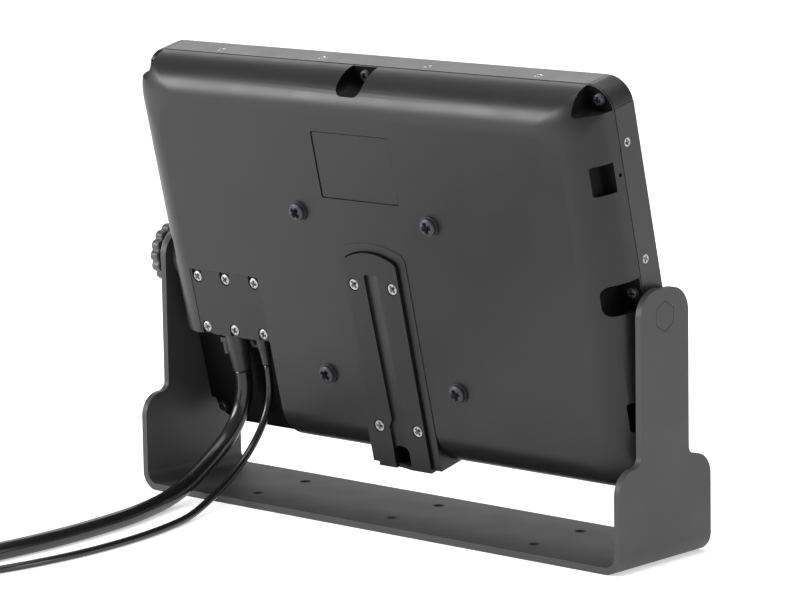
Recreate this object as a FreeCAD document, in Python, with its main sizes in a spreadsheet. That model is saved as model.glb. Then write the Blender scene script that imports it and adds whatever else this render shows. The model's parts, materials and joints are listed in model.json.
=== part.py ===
import FreeCAD, Part
import Sketcher
import math
import os

from FreeCAD import Placement, Rotation, Vector

# A chartplotter display on its U-bracket: a shallow housing with a screen in front, clamped between the
# bracket's two arms by a hexagonal pivot on one side and a hand knob on the other. Millimetres.
#
# Frame: +Z up, the bracket's base stands on z = 0, +X is along the width, and the screen looks towards -Y.
# The pieces of the display are drawn upright about the pivot axis, with x across, y backwards and z up,
# and their placement then leans them back and lifts them to the pivot's height.

DIMENSIONS = [
    # the U-bracket
    ("bracket_span", 275.0),
    ("bracket_gauge", 3.0),
    ("bracket_depth", 60.0),
    ("bracket_height", 114.5),
    ("bend_radius", 8.0),
    ("arm_width", 31.0),
    ("arm_round", 11.0),
    ("shoulder_height", 43.0),
    ("shoulder_round", 10.0),
    ("neck_round", 4.2),
    ("base_hole_pitch", 80.0),
    ("base_hole_rows", 30.0),
    ("base_hole_radius", 2.5),
    # the pivot
    ("pivot_height", 103.0),
    ("lean", 13.0),
    ("stud_radius", 3.0),
    ("insert_bore", 3.05),
    ("insert_radius", 4.5),
    ("clearance_radius", 3.4),
    ("hexagon_flats", 11.0),
    # the display housing
    ("half_width", 131.5),
    ("top_edge", 99.5),
    ("bottom_edge", -76.5),
    ("corner_round", 11.0),
    ("front_face", -8.5),
    ("seam", 3.8),
    ("rear_face", 22.0),
    ("rail_wall", 1.5),
    ("lip_width", 6.0),
    ("lip_gauge", 1.2),
    ("glass_gauge", 1.8),
    ("chassis_half_width", 129.9),
    ("chassis_top", 97.9),
    ("chassis_bottom", -74.9),
    ("chassis_front", -4.8),
    ("web_front", 0.8),
    ("web_gauge", 1.4),
    ("chassis_rear", 3.2),
    ("cover_wall", 2.2),
    ("pocket_floor", 4.8),
    ("pocket_wall", 1.6),
    ("screen_half_width", 114.7),
    ("screen_half_height", 74.5),
    ("screen_middle", 11.5),
    ("panel_front", -4.6),
    ("panel_gauge", 2.8),
    ("tray_gauge", 0.8),
    # fasteners
    ("rail_screw_head", 1.9),
    ("rail_screw_shank", 1.0),
    ("cover_screw_head", 2.4),
    ("cover_screw_shank", 1.25),
    ("vesa_pitch", 75.0),
    ("vesa_screw_head", 4.0),
    ("vesa_screw_shank", 1.95),
    # the stand rail, the connector bay and the knob
    ("stand_width", 30.0),
    ("stand_boss_width", 39.4),
    ("stand_face", 24.0),
    ("bay_inner", 70.5),
    ("bay_roof", -27.0),
    ("bay_floor", 7.0),
    ("hatch_outer", 112.5),
    ("hatch_top", 3.6),
    ("hatch_gauge", 1.5),
    ("hatch_sink", 1.0),
    ("hatch_seat", 2.9),
    ("knob_radius", 14.6),
    # the cords
    ("video_cord", 7.6),
    ("power_cord", 3.3),
]

doc = FreeCAD.newDocument("chartplotter_display")
sheet = doc.addObject("Spreadsheet::Sheet", "Sizes")
for row, (alias, value) in enumerate(DIMENSIONS, start=1):
    sheet.set("A%d" % row, alias)
    sheet.set("B%d" % row, str(value))
    sheet.setAlias("B%d" % row, alias)
doc.recompute()

SIZE = dict(DIMENSIONS)
ALIASES = sorted(SIZE, key=len, reverse=True)
nodes = []


# ---- helpers -----------------------------------------------------------------------------------------

def formula(text):
    """Point each alias in an expression at the spreadsheet."""
    words = "".join(letter if letter.isalnum() or letter == "_" else " " for letter in text).split()
    for word in sorted(set(words), key=len, reverse=True):
        if word in SIZE:
            text = text.replace(word, "\0%d\0" % ALIASES.index(word))
    for index, alias in enumerate(ALIASES):
        text = text.replace("\0%d\0" % index, "Sizes." + alias)
    return text


def bind(item, prop, value):
    """Set a property to a number, or bind it to an expression in the sheet's aliases."""
    if isinstance(value, str):
        item.setExpression(prop, formula(value))
    else:
        setattr(item, prop, value)


def place(item, at, turn=None):
    """Place a shape: each of the three coordinates is a number or an expression."""
    rotation = turn if turn is not None else Rotation()
    numbers = [0.0 if isinstance(part, str) else float(part) for part in at]
    item.Placement = Placement(Vector(*numbers), rotation)
    for axis, part in zip("xyz", at):
        if isinstance(part, str):
            item.setExpression("Placement.Base." + axis, formula(part))
    return item


ALONG_X = Rotation(Vector(0, 1, 0), 90)
ALONG_Y = Rotation(Vector(1, 0, 0), -90)
DOWN = Rotation(Vector(1, 0, 0), 180)


def box(name, low, size, turn=None):
    item = doc.addObject("Part::Box", name)
    for prop, value in zip(("Length", "Width", "Height"), size):
        bind(item, prop, value)
    return place(item, low, turn)


def rod(name, at, radius, length, turn=None):
    item = doc.addObject("Part::Cylinder", name)
    bind(item, "Radius", radius)
    bind(item, "Height", length)
    return place(item, at, turn)


def taper(name, at, first, last, length, turn=None):
    item = doc.addObject("Part::Cone", name)
    bind(item, "Radius1", first)
    bind(item, "Radius2", last)
    bind(item, "Height", length)
    return place(item, at, turn)


def hexagon(name, at, across_flats, length, turn):
    item = doc.addObject("Part::Prism", name)
    item.Polygon = 6
    bind(item, "Circumradius", "%s / 1.7320508" % across_flats)
    bind(item, "Height", length)
    return place(item, at, turn)


def join(name, pieces):
    item = doc.addObject("Part::MultiFuse", name)
    item.Shapes = pieces
    return item


def cut(name, base, tool):
    item = doc.addObject("Part::Cut", name)
    item.Base = base
    item.Tool = tool
    return item


def common(name, first, second):
    item = doc.addObject("Part::MultiCommon", name)
    item.Shapes = [first, second]
    return item


def group(name, pieces):
    """Identical separate solids kept together as one node."""
    item = doc.addObject("Part::Compound", name)
    item.Links = pieces
    return item


def node(item, label):
    """Register a finished sub-part that stays where it is drawn."""
    item.Label = label
    nodes.append(item)
    return item


def lean_back(item, label):
    """Register a sub-part of the display: leaned back about the pivot axis and lifted to its height."""
    item.Placement = Placement(Vector(0, 0, SIZE["pivot_height"]), Rotation(Vector(-1, 0, 0), SIZE["lean"]))
    item.setExpression("Placement.Base.z", formula("pivot_height"))
    item.setExpression("Placement.Rotation.Angle", formula("lean") + " * 1 deg")
    return node(item, label)


def origin_plane(body, role):
    return next(feature for feature in body.Origin.OriginFeatures if feature.Role == role)


def sketch_on(body, name, role, offset=None):
    """A sketch on one of the body's own origin planes, shifted along the plane's normal."""
    sketch = body.newObject("Sketcher::SketchObject", name)
    sketch.AttachmentSupport = (origin_plane(body, role), [""])
    sketch.MapMode = "FlatFace"
    if offset is not None:
        sketch.AttachmentOffset = Placement(Vector(0, 0, 0), Rotation())
        sketch.setExpression("AttachmentOffset.Base.z", formula(offset))
    return sketch


def value_of(text):
    """The number that an expression in the sheet's aliases gives."""
    sheet.set("D1", "=" + text)
    doc.recompute([sheet])
    return float(sheet.get("D1"))


def outline(sketch, corners):
    """A closed outline of straight lines; every corner is tied to the origin by two bound distances."""
    points = [Vector(value_of(x), value_of(y), 0) for x, y in corners]
    count = len(points)
    first = sketch.GeometryCount
    for index in range(count):
        sketch.addGeometry(Part.LineSegment(points[index], points[(index + 1) % count]), False)
    for index in range(count):
        following = (index + 1) % count
        join_ends = ("Coincident", first + index, 2, first + following, 1)
        sketch.addConstraint(Sketcher.Constraint(*join_ends))
        for kind, axis, number, text in (
            ("DistanceX", -2, points[index].x, corners[index][0]),
            ("DistanceY", -1, points[index].y, corners[index][1]),
        ):
            if abs(number) < 1e-9:
                sketch.addConstraint(Sketcher.Constraint("PointOnObject", first + index, 1, axis))
                continue
            tie = sketch.addConstraint(Sketcher.Constraint(kind, -1, 1, first + index, 1, number))
            sketch.setExpression("Constraints[%d]" % tie, formula(text))


def circle(sketch, centre, radius):
    """A circle whose centre and radius are bound to the sheet."""
    middle = Vector(value_of(centre[0]), value_of(centre[1]), 0)
    size = value_of(radius)
    index = sketch.addGeometry(Part.Circle(middle, Vector(0, 0, 1), size), False)
    for kind, axis, number, text in (
        ("DistanceX", -2, middle.x, centre[0]),
        ("DistanceY", -1, middle.y, centre[1]),
    ):
        if abs(number) < 1e-9:
            sketch.addConstraint(Sketcher.Constraint("PointOnObject", index, 3, axis))
            continue
        tie = sketch.addConstraint(Sketcher.Constraint(kind, -1, 1, index, 3, number))
        sketch.setExpression("Constraints[%d]" % tie, formula(text))
    tie = sketch.addConstraint(Sketcher.Constraint("Radius", index, size))
    sketch.setExpression("Constraints[%d]" % tie, formula(radius))


def new_body(name):
    body = doc.addObject("PartDesign::Body", name)
    doc.recompute()
    return body


def feature(body, kind, name, profile, length=None, both_ways=False, through=False, back=False):
    """A Pad or Pocket of a sketch; a Pocket that takes nothing away is an error."""
    before = body.Shape.Volume if kind == "Pocket" else 0.0
    item = body.newObject("PartDesign::" + kind, name)
    item.Profile = profile
    if through:
        item.Type = "ThroughAll"
    else:
        bind(item, "Length", length)
    item.Midplane = both_ways
    item.Reversed = back
    body.Tip = item
    doc.recompute()
    if kind == "Pocket" and not body.Shape.Volume < before - 1e-6:
        raise RuntimeError(name + " takes nothing away")
    return item


def dress(body, kind, name, radius, keep):
    """A Fillet on the edges of the body's tip that a test picks by their middle and their direction."""
    base = body.Tip
    chosen = []
    for index, edge in enumerate(base.Shape.Edges, start=1):
        if len(edge.Vertexes) < 2:
            continue
        middle = edge.valueAt((edge.FirstParameter + edge.LastParameter) / 2)
        way = (edge.Vertexes[1].Point - edge.Vertexes[0].Point).normalize()
        if keep(middle, way):
            chosen.append("Edge%d" % index)
    if not chosen:
        raise RuntimeError(name + " finds no edge")
    item = body.newObject("PartDesign::" + kind, name)
    item.Base = (base, chosen)
    bind(item, "Radius" if kind == "Fillet" else "Size", radius)
    body.Tip = item
    doc.recompute()
    if item.Shape.isNull() or "Invalid" in item.State:
        raise RuntimeError(name + " fails")
    return item


def rounded_plate(name, half_width, bottom, top, low, gauge, radius):
    """A plate in the display's plane with rounded corners, from y = low, gauge thick."""
    body = new_body(name)
    sketch = sketch_on(body, name + "_outline", "XZ_Plane", "-(%s)" % low)
    outline(sketch, [("-(%s)" % half_width, bottom), (half_width, bottom), (half_width, top),
                     ("-(%s)" % half_width, top)])
    doc.recompute()
    feature(body, "Pad", name + "_pad", sketch, gauge, back=True)
    if radius is not None:
        dress(body, "Fillet", name + "_corners", radius, lambda middle, way: abs(way.y) > 0.99)
    return body


# ---- the U-bracket -----------------------------------------------------------------------------------

def make_bracket():
    body = new_body("bracket_body")
    profile = sketch_on(body, "bracket_section", "XZ_Plane")
    outer = "bracket_span / 2"
    inner = "bracket_span / 2 - bracket_gauge"
    outline(profile, [
        ("-%s" % outer, "0"), (outer, "0"), (outer, "bracket_height"), (inner, "bracket_height"),
        (inner, "bracket_gauge"), ("-(%s)" % inner, "bracket_gauge"),
        ("-(%s)" % inner, "bracket_height"), ("-%s" % outer, "bracket_height"),
    ])
    doc.recompute()
    feature(body, "Pad", "bracket_strip", profile, "bracket_depth", both_ways=True)

    gauge = SIZE["bracket_gauge"]
    span = SIZE["bracket_span"] / 2
    dress(body, "Fillet", "outer_bends", "bend_radius",
          lambda middle, way: abs(way.y) > 0.99 and middle.z < 0.01)
    dress(body, "Fillet", "inner_bends", "bend_radius - bracket_gauge",
          lambda middle, way: abs(way.y) > 0.99 and abs(middle.z - gauge) < 0.01
          and abs(abs(middle.x) - span + gauge) < 0.01)

    for side, sign in (("front", "-"), ("rear", "")):
        notch = sketch_on(body, side + "_shoulders", "YZ_Plane")
        outline(notch, [
            (sign + "arm_width / 2", "shoulder_height"), (sign + "bracket_depth", "shoulder_height"),
            (sign + "bracket_depth", "bracket_height + 5"), (sign + "arm_width / 2", "bracket_height + 5"),
        ])
        doc.recompute()
        feature(body, "Pocket", side + "_notches", notch, "bracket_span * 2", both_ways=True)

    half_depth = SIZE["bracket_depth"] / 2
    half_arm = SIZE["arm_width"] / 2
    shoulder = SIZE["shoulder_height"]
    top = SIZE["bracket_height"]
    dress(body, "Fillet", "shoulders", "shoulder_round",
          lambda middle, way: abs(way.x) > 0.99 and abs(middle.z - shoulder) < 0.01
          and abs(abs(middle.y) - half_depth) < 0.01)
    dress(body, "Fillet", "necks", "neck_round",
          lambda middle, way: abs(way.x) > 0.99 and abs(middle.z - shoulder) < 0.01
          and abs(abs(middle.y) - half_arm) < 0.01)
    dress(body, "Fillet", "arm_tops", "arm_round",
          lambda middle, way: abs(way.x) > 0.99 and abs(middle.z - top) < 0.01)

    holes = sketch_on(body, "base_holes", "XY_Plane")
    for column in ("-base_hole_pitch", "0", "base_hole_pitch"):
        for line in ("-base_hole_rows / 2", "base_hole_rows / 2"):
            circle(holes, (column, line), "base_hole_radius")
    doc.recompute()
    feature(body, "Pocket", "base_hole_cuts", holes, "bracket_gauge * 4", both_ways=True)

    stud_hole = rod("stud_hole", (100, 0, "pivot_height"), "clearance_radius", 60, ALONG_X)
    hexagon_hole = hexagon("hexagon_hole", (-160, 0, "pivot_height"), "(hexagon_flats + 0.2)", 60, ALONG_X)
    openings = join("pivot_holes", [stud_hole, hexagon_hole])
    node(cut("u_bracket", body, openings), "u_bracket")


def make_hexagon_pivot():
    outer = "-bracket_span / 2"
    head = hexagon("pivot_head", (outer, 0, "pivot_height"), "hexagon_flats", "bracket_gauge", ALONG_X)
    collar = rod("pivot_collar", (outer + " + bracket_gauge", 0, "pivot_height"), 7.0, 1.0, ALONG_X)
    shank = rod("pivot_shank", (outer + " + bracket_gauge", 0, "pivot_height"), "stud_radius", 16, ALONG_X)
    node(join("hexagon_pivot", [head, collar, shank]), "hexagon_pivot")


# ---- the knob ----------------------------------------------------------------------------------------

def make_knob():
    outer = "bracket_span / 2"
    disc = rod("washer_disc", (outer + " + 0.1", 0, "pivot_height"), 13.6, 2.0, ALONG_X)
    bore = rod("washer_bore", (outer + " - 5", 0, "pivot_height"), "clearance_radius", 20, ALONG_X)
    node(cut("knob_washer", disc, bore), "knob_washer")

    rim_start = outer + " + 5.2"
    rim = rod("knob_rim", (rim_start, 0, "pivot_height"), "knob_radius", 4.4, ALONG_X)
    hub = rod("knob_hub", (outer + " + 2.3", 0, "pivot_height"), 8.5, 5.9, ALONG_X)
    crown = taper("knob_crown", (outer + " + 9.6", 0, "pivot_height"), 11.0, 8.5, 1.8, ALONG_X)
    flutes = []
    count = 16
    for index in range(count):
        angle = 2 * math.pi * index / count
        reach = "(knob_radius + 1.5)"
        flutes.append(rod("flute_%02d" % index, (
            outer, "%s * %.9f" % (reach, math.cos(angle)),
            "pivot_height + %s * %.9f" % (reach, math.sin(angle)),
        ), 2.5, 20, ALONG_X))
    socket = rod("stud_socket", (outer + " - 5", 0, "pivot_height"), "stud_radius", 11, ALONG_X)
    solid = join("knob_solid", [rim, hub, crown])
    node(cut("knob_grip", solid, join("knob_cuts", flutes + [socket])), "knob_grip")
    node(rod("knob_stud", (outer + " - 19", 0, "pivot_height"), "stud_radius", 25, ALONG_X), "knob_stud")


# ---- the band of rails and corner caps round the screen ------------------------------------------------

def make_band():
    """The band is one rounded frame with a front lip, cut into four rails and four corner caps."""
    blank = rounded_plate("band_blank", "half_width", "bottom_edge", "top_edge", "front_face",
                          "seam - front_face", "corner_round")
    hollow = rounded_plate("band_hollow", "half_width - rail_wall", "bottom_edge + rail_wall",
                           "top_edge - rail_wall", "front_face + lip_gauge", "seam - front_face",
                           "corner_round - rail_wall")
    window = rounded_plate("band_window", "half_width - lip_width", "bottom_edge + lip_width",
                           "top_edge - lip_width", "front_face - 1", "seam - front_face",
                           "corner_round - lip_width")
    band = cut("band", blank, join("band_opening", [hollow, window]))

    far = 300
    joint = 0.05
    inner_x = "half_width - corner_round - 0.3"
    inner_top = "top_edge - corner_round + 1"
    inner_bottom = "bottom_edge + corner_round - 1"
    y_low = -20
    y_size = 40

    screw_depth = "(seam + front_face) / 2 + 1.5"
    for side, sign, low in (("top", 1, inner_top), ("bottom", -1, "bottom_edge - 1")):
        zone = box(side + "_zone", ("-(%s) + %g" % (inner_x, joint), y_low, low),
                   ("2 * (%s) - %g" % (inner_x, 2 * joint), y_size, "corner_round"))
        edge = "top_edge" if sign > 0 else "bottom_edge"
        holes = []
        for index, column in enumerate((-90, -30, 30, 90)):
            at = (column, screw_depth, "%s - %g" % (edge, sign * 20))
            turn = Rotation() if sign > 0 else DOWN
            holes.append(rod("%s_screw_way_%d" % (side, index), at, "rail_screw_shank + 0.1", 40, turn))
            sink = (column, screw_depth, "%s - %g" % (edge, sign * 1.0))
            holes.append(taper("%s_sink_%d" % (side, index), sink, "rail_screw_shank + 0.1",
                               "rail_screw_head + 0.1", 1.0, turn))
        blank_rail = common(side + "_rail_blank", band, zone)
        lean_back(cut(side + "_rail", blank_rail, join(side + "_rail_holes", holes)), side + "_rail")

    for side, sign in (("left", 1), ("right", -1)):
        low = "half_width - corner_round - 1" if sign > 0 else "-half_width - 1"
        zone = box(side + "_zone", (low, y_low, inner_bottom + " + %g" % joint),
                   ("corner_round + 2", y_size, "(%s) - (%s) - %g" % (inner_top, inner_bottom, 2 * joint)))
        turn = ALONG_X if sign > 0 else Rotation(Vector(0, 1, 0), -90)
        holes = [rod(side + "_pivot_way", (sign * 100, 0, 0), "insert_radius + 0.1", 60, turn)]
        for index, height in enumerate((74, 24, -51)):
            edge = "%shalf_width" % ("" if sign > 0 else "-")
            at = ("%s - %g" % (edge, sign * 20), screw_depth, height)
            holes.append(rod("%s_screw_way_%d" % (side, index), at, "rail_screw_shank + 0.1", 40, turn))
            sink = ("%s - %g" % (edge, sign * 1.0), screw_depth, height)
            holes.append(taper("%s_sink_%d" % (side, index), sink, "rail_screw_shank + 0.1",
                               "rail_screw_head + 0.1", 1.0, turn))
        blank_rail = common(side + "_rail_blank", band, zone)
        lean_back(cut(side + "_rail", blank_rail, join(side + "_rail_holes", holes)), side + "_rail")

    for upright, top in (("top", True), ("bottom", False)):
        for side, right in (("left", False), ("right", True)):
            name = "corner_cap_%s_%s" % (upright, side)
            x_low = inner_x if not right else "-(%s) - %g" % (inner_x, far)
            z_low = inner_top if top else "(%s) - %g" % (inner_bottom, far)
            zone = box(name + "_zone", (x_low, y_low, z_low), (far, y_size, far))
            lean_back(common(name, band, zone), name)


def countersunk_screw(name, at, turn, head, shank, length):
    """A countersunk screw with its head's face at the given place, running along the turned axis."""
    cone = taper(name + "_head", at, head, shank, 1.0, turn)
    rod_part = rod(name + "_shank", at, shank, length, turn)
    return join(name, [cone, rod_part])


def make_rail_screws():
    screws = []
    depth = "(seam + front_face) / 2 + 1.5"
    for side, edge, turn in (("top", "top_edge", DOWN), ("bottom", "bottom_edge", Rotation())):
        for index, column in enumerate((-90, -30, 30, 90)):
            screws.append(countersunk_screw("%s_rail_screw_%d" % (side, index), (column, depth, edge), turn,
                                            "rail_screw_head", "rail_screw_shank", 5.0))
    for side, edge, turn in (("left", "half_width", Rotation(Vector(0, 1, 0), -90)),
                             ("right", "-half_width", ALONG_X)):
        for index, height in enumerate((74, 24, -51)):
            screws.append(countersunk_screw("%s_rail_screw_%d" % (side, index), (edge, depth, height), turn,
                                            "rail_screw_head", "rail_screw_shank", 5.0))
    lean_back(group("rail_screws", screws), "rail_screws")


# ---- the screen and what holds it ----------------------------------------------------------------------

COVER_SCREWS = [
    (side * 125.8, height) for side in (-1, 1) for height in (93.8, -70.8)
] + [(0.0, 95.5), (0.0, -72.5), (-127.5, 11.5), (127.5, 11.5)]


def make_screen():
    glass = rounded_plate("cover_glass_body", "half_width - rail_wall - 0.3", "bottom_edge + rail_wall + 0.3",
                          "top_edge - rail_wall - 0.3", "front_face + lip_gauge", "glass_gauge",
                          "corner_round - 2")
    lean_back(glass, "cover_glass")

    seal_start = "front_face + lip_gauge + glass_gauge"
    ring = rounded_plate("gasket_ring", "chassis_half_width - 0.2", "chassis_bottom + 0.2",
                         "chassis_top - 0.2", seal_start, "chassis_front - (%s)" % seal_start,
                         "corner_round - 2")
    gap = box("gasket_gap", ("-screen_half_width - 3", -20, "screen_middle - screen_half_height - 3"),
              ("2 * screen_half_width + 6", 40, "2 * screen_half_height + 6"))
    lean_back(cut("glass_gasket", ring, gap), "glass_gasket")

    low = "screen_middle - screen_half_height"
    high = "screen_middle + screen_half_height"
    panel = rounded_plate("screen_panel", "screen_half_width", low, high, "panel_front", "panel_gauge", None)
    lean_back(panel, "lcd_panel")
    tray = rounded_plate("screen_tray", "screen_half_width", low, high, "panel_front + panel_gauge",
                         "tray_gauge", None)
    lean_back(tray, "panel_tray")


def make_chassis():
    block = rounded_plate("chassis_block", "chassis_half_width", "chassis_bottom", "chassis_top",
                          "chassis_front", "chassis_rear - chassis_front", "corner_round - 1.6")
    wide = "2 * screen_half_width + 1"
    tall = "2 * screen_half_height + 1"
    left = "-screen_half_width - 0.5"
    low = "screen_middle - screen_half_height - 0.5"
    front_room = box("panel_room", (left, "chassis_front - 1", low),
                     (wide, "web_front - chassis_front + 1", tall))
    rear_room = box("board_room", (left, "web_front + web_gauge", low), (wide, 20, tall))
    extras = []
    for name, column, height in MAIN_BOARD_POSTS + POWER_BOARD_POSTS:
        extras.append(rod("post_" + name, (column, "web_front", height), 3.0, 7.2, ALONG_Y))
    for side, low_x in (("left", 115.6), ("right", -127.2)):
        extras.append(box(side + "_pivot_block", (low_x, 2, -6), (11.6, 4, 9)))
    solid = join("chassis_solid", [cut("chassis_ring", block, join("chassis_rooms", [front_room, rear_room]))]
                 + extras)

    holes = [rod("pivot_room_left", (110, 0, 0), "insert_radius + 0.02", 30, ALONG_X),
             rod("pivot_room_right", (-140, 0, 0), "insert_radius + 0.02", 30, ALONG_X)]
    for index, (column, height) in enumerate(COVER_SCREWS):
        holes.append(rod("cover_thread_%d" % index, (column, "chassis_rear - 5.6", height),
                         "cover_screw_shank + 0.03", 20, ALONG_Y))
    for name, column, height in MAIN_BOARD_POSTS + POWER_BOARD_POSTS:
        holes.append(rod("post_thread_" + name, (column, 3.0, height), 1.03, 20, ALONG_Y))
    depth = "(seam + front_face) / 2 + 1.5"
    for edge, start in (("top", 88), ("bottom", -98)):
        for index, column in enumerate((-90, -30, 30, 90)):
            holes.append(rod("%s_rail_thread_%d" % (edge, index), (column, depth, start + 5),
                             "rail_screw_shank + 0.03", 28, Rotation()))
    for side, start in (("left", 126), ("right", -140)):
        for index, height in enumerate((74, 24, -51)):
            holes.append(rod("%s_rail_thread_%d" % (side, index), (start, depth, height),
                             "rail_screw_shank + 0.03", 14, ALONG_X))
    lean_back(cut("front_chassis", solid, join("chassis_holes", holes)), "front_chassis")


MAIN_BOARD_POSTS = [("main_%d" % index, column, height) for index, (column, height) in enumerate(
    [(-98.0, -12.0), (-98.0, 60.0), (40.0, -12.0), (40.0, 60.0)])]
POWER_BOARD_POSTS = [("power_%d" % index, column, height) for index, (column, height) in enumerate(
    [(56.0, 12.0), (56.0, 60.0), (104.0, 12.0), (104.0, 60.0)])]
BOARD_BACK = 8.0


def make_board(label, posts, margin):
    """A circuit board on its posts, with its screws as a second node."""
    columns = [post[1] for post in posts]
    heights = [post[2] for post in posts]
    low = (min(columns) - margin, BOARD_BACK, min(heights) - margin)
    size = (max(columns) - min(columns) + 2 * margin, 1.6, max(heights) - min(heights) + 2 * margin)
    plate = box(label + "_plate", low, size)
    ways = [rod(label + "_way_%d" % index, (post[1], 0, post[2]), 1.3, 20, ALONG_Y)
            for index, post in enumerate(posts)]
    chips = []
    for index, (share_x, share_z, wide, tall, high) in enumerate(
            [(0.2, 0.42, 18, 18, 1.8), (0.6, 0.45, 12, 10, 1.6), (0.5, 0.2, 8, 8, 2.6)]):
        chips.append(box(label + "_chip_%d" % index,
                         (low[0] + size[0] * share_x, BOARD_BACK + 1.6, low[2] + size[2] * share_z),
                         (wide, high, tall)))
    lean_back(cut(label, join(label + "_parts", [plate] + chips), join(label + "_ways", ways)), label)

    screws = []
    for index, post in enumerate(posts):
        head = rod(label + "_screw_head_%d" % index, (post[1], BOARD_BACK + 1.6, post[2]), 2.1, 1.4, ALONG_Y)
        shank = rod(label + "_screw_shank_%d" % index, (post[1], 4.0, post[2]), 1.0, 6.0, ALONG_Y)
        screws.append(join(label + "_screw_%d" % index, [head, shank]))
    lean_back(group(label + "_screws", screws), label + "_screws")


# ---- the rear cover ------------------------------------------------------------------------------------

def rolled_block(name, inset, lift):
    """The cover's outer form, or its hollow when inset: a plate whose flanks roll over to the rear face."""
    body = new_body(name)
    roll = SIZE["rear_face"] - SIZE["seam"]
    sections = []
    for index, share in enumerate((0.0, 0.3, 0.55, 0.75, 0.9, 1.0)):
        draw_in = "%.6f * (rear_face - seam) + %g" % (1 - math.sqrt(1 - min(share, 0.985) ** 2), inset)
        height = "seam + %.3f * (rear_face - seam - %g)" % (share, lift)
        sketch = sketch_on(body, "%s_section_%d" % (name, index), "XZ_Plane", "-(%s)" % height)
        radius = SIZE["corner_round"] - inset + 0.35 * roll * (1 - math.sqrt(1 - min(share, 0.985) ** 2))
        rounded_outline(sketch, "half_width - (%s)" % draw_in, "bottom_edge + %s" % draw_in,
                        "top_edge - (%s)" % draw_in, radius)
        sections.append(sketch)
    doc.recompute()
    loft = body.newObject("PartDesign::AdditiveLoft", name + "_loft")
    loft.Profile = sections[0]
    loft.Sections = sections[1:]
    loft.Ruled = False
    body.Tip = loft
    doc.recompute()
    return body


def rounded_outline(sketch, half_width, bottom, top, radius):
    """A rectangle with four corner arcs, its sides tied to the origin and its corners to one radius."""
    x = value_of(half_width)
    z_low = value_of(bottom)
    z_high = value_of(top)
    turn = math.pi / 2
    centres = [Vector(x - radius, z_high - radius, 0), Vector(-x + radius, z_high - radius, 0),
               Vector(-x + radius, z_low + radius, 0), Vector(x - radius, z_low + radius, 0)]
    for index, centre in enumerate(centres):
        arc = Part.ArcOfCircle(Part.Circle(centre, Vector(0, 0, 1), radius), index * turn,
                               (index + 1) * turn)
        sketch.addGeometry(arc, False)
        following = centres[(index + 1) % 4]
        start = centre + Vector(math.cos((index + 1) * turn), math.sin((index + 1) * turn), 0) * radius
        end = following + Vector(math.cos((index + 1) * turn), math.sin((index + 1) * turn), 0) * radius
        sketch.addGeometry(Part.LineSegment(start, end), False)
    for index in range(4):
        arc_index = 2 * index
        line_index = 2 * index + 1
        next_arc = (2 * index + 2) % 8
        sketch.addConstraint(Sketcher.Constraint("Tangent", arc_index, 2, line_index, 1))
        sketch.addConstraint(Sketcher.Constraint("Tangent", line_index, 2, next_arc, 1))
    for index in range(1, 4):
        sketch.addConstraint(Sketcher.Constraint("Equal", 0, 2 * index))
    tie = sketch.addConstraint(Sketcher.Constraint("Radius", 0, radius))
    sketch.addConstraint(Sketcher.Constraint("Horizontal", 1))
    sketch.addConstraint(Sketcher.Constraint("Vertical", 3))
    for kind, line, number, text in (
        ("DistanceY", 1, z_high, top), ("DistanceX", 3, -x, "-(%s)" % half_width),
        ("DistanceY", 5, z_low, bottom), ("DistanceX", 7, x, half_width),
    ):
        tie = sketch.addConstraint(Sketcher.Constraint(kind, -1, 1, line, 1, number))
        sketch.setExpression("Constraints[%d]" % tie, formula(text))


def pocket_shapes(prefix, grow, floor):
    """The screw pockets, clamp notches and connector bay of the cover, each grown by a wall's thickness."""
    back = 60
    shapes = []
    for side in (-1, 1):
        low_x = 120.0 - grow if side > 0 else -160.0
        for name, low_z in (("top", 89.4 - grow), ("bottom", -66.4 - 40 + grow)):
            shapes.append(box("%s_corner_%s_%d" % (prefix, name, side), (low_x, floor, low_z),
                              (40 + grow, back, 40)))
        middle_x = 122.0 - grow if side > 0 else -160.0
        shapes.append(box("%s_middle_%d" % (prefix, side), (middle_x, floor, 5.0 - grow),
                          (38 + grow, back, 13.0 + 2 * grow)))
        notch_x = 125.0 - grow if side > 0 else -165.0
        for name, low_z in (("upper", 56.2), ("lower", -45.8)):
            shapes.append(box("%s_clamp_%s_%d" % (prefix, name, side), (notch_x, 8.8 - grow, low_z - grow),
                              (40 + grow, back, 12.6 + 2 * grow)))
    shapes.append(box(prefix + "_top_middle", (-7.2 - grow, floor, 90.6 - grow),
                      (14.4 + 2 * grow, back, 40)))
    shapes.append(box(prefix + "_bay", ("bay_inner - %g" % grow, "bay_floor - %g" % grow, -140),
                      (90, back, "140 + bay_roof + %g" % grow)))
    return shapes


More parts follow.
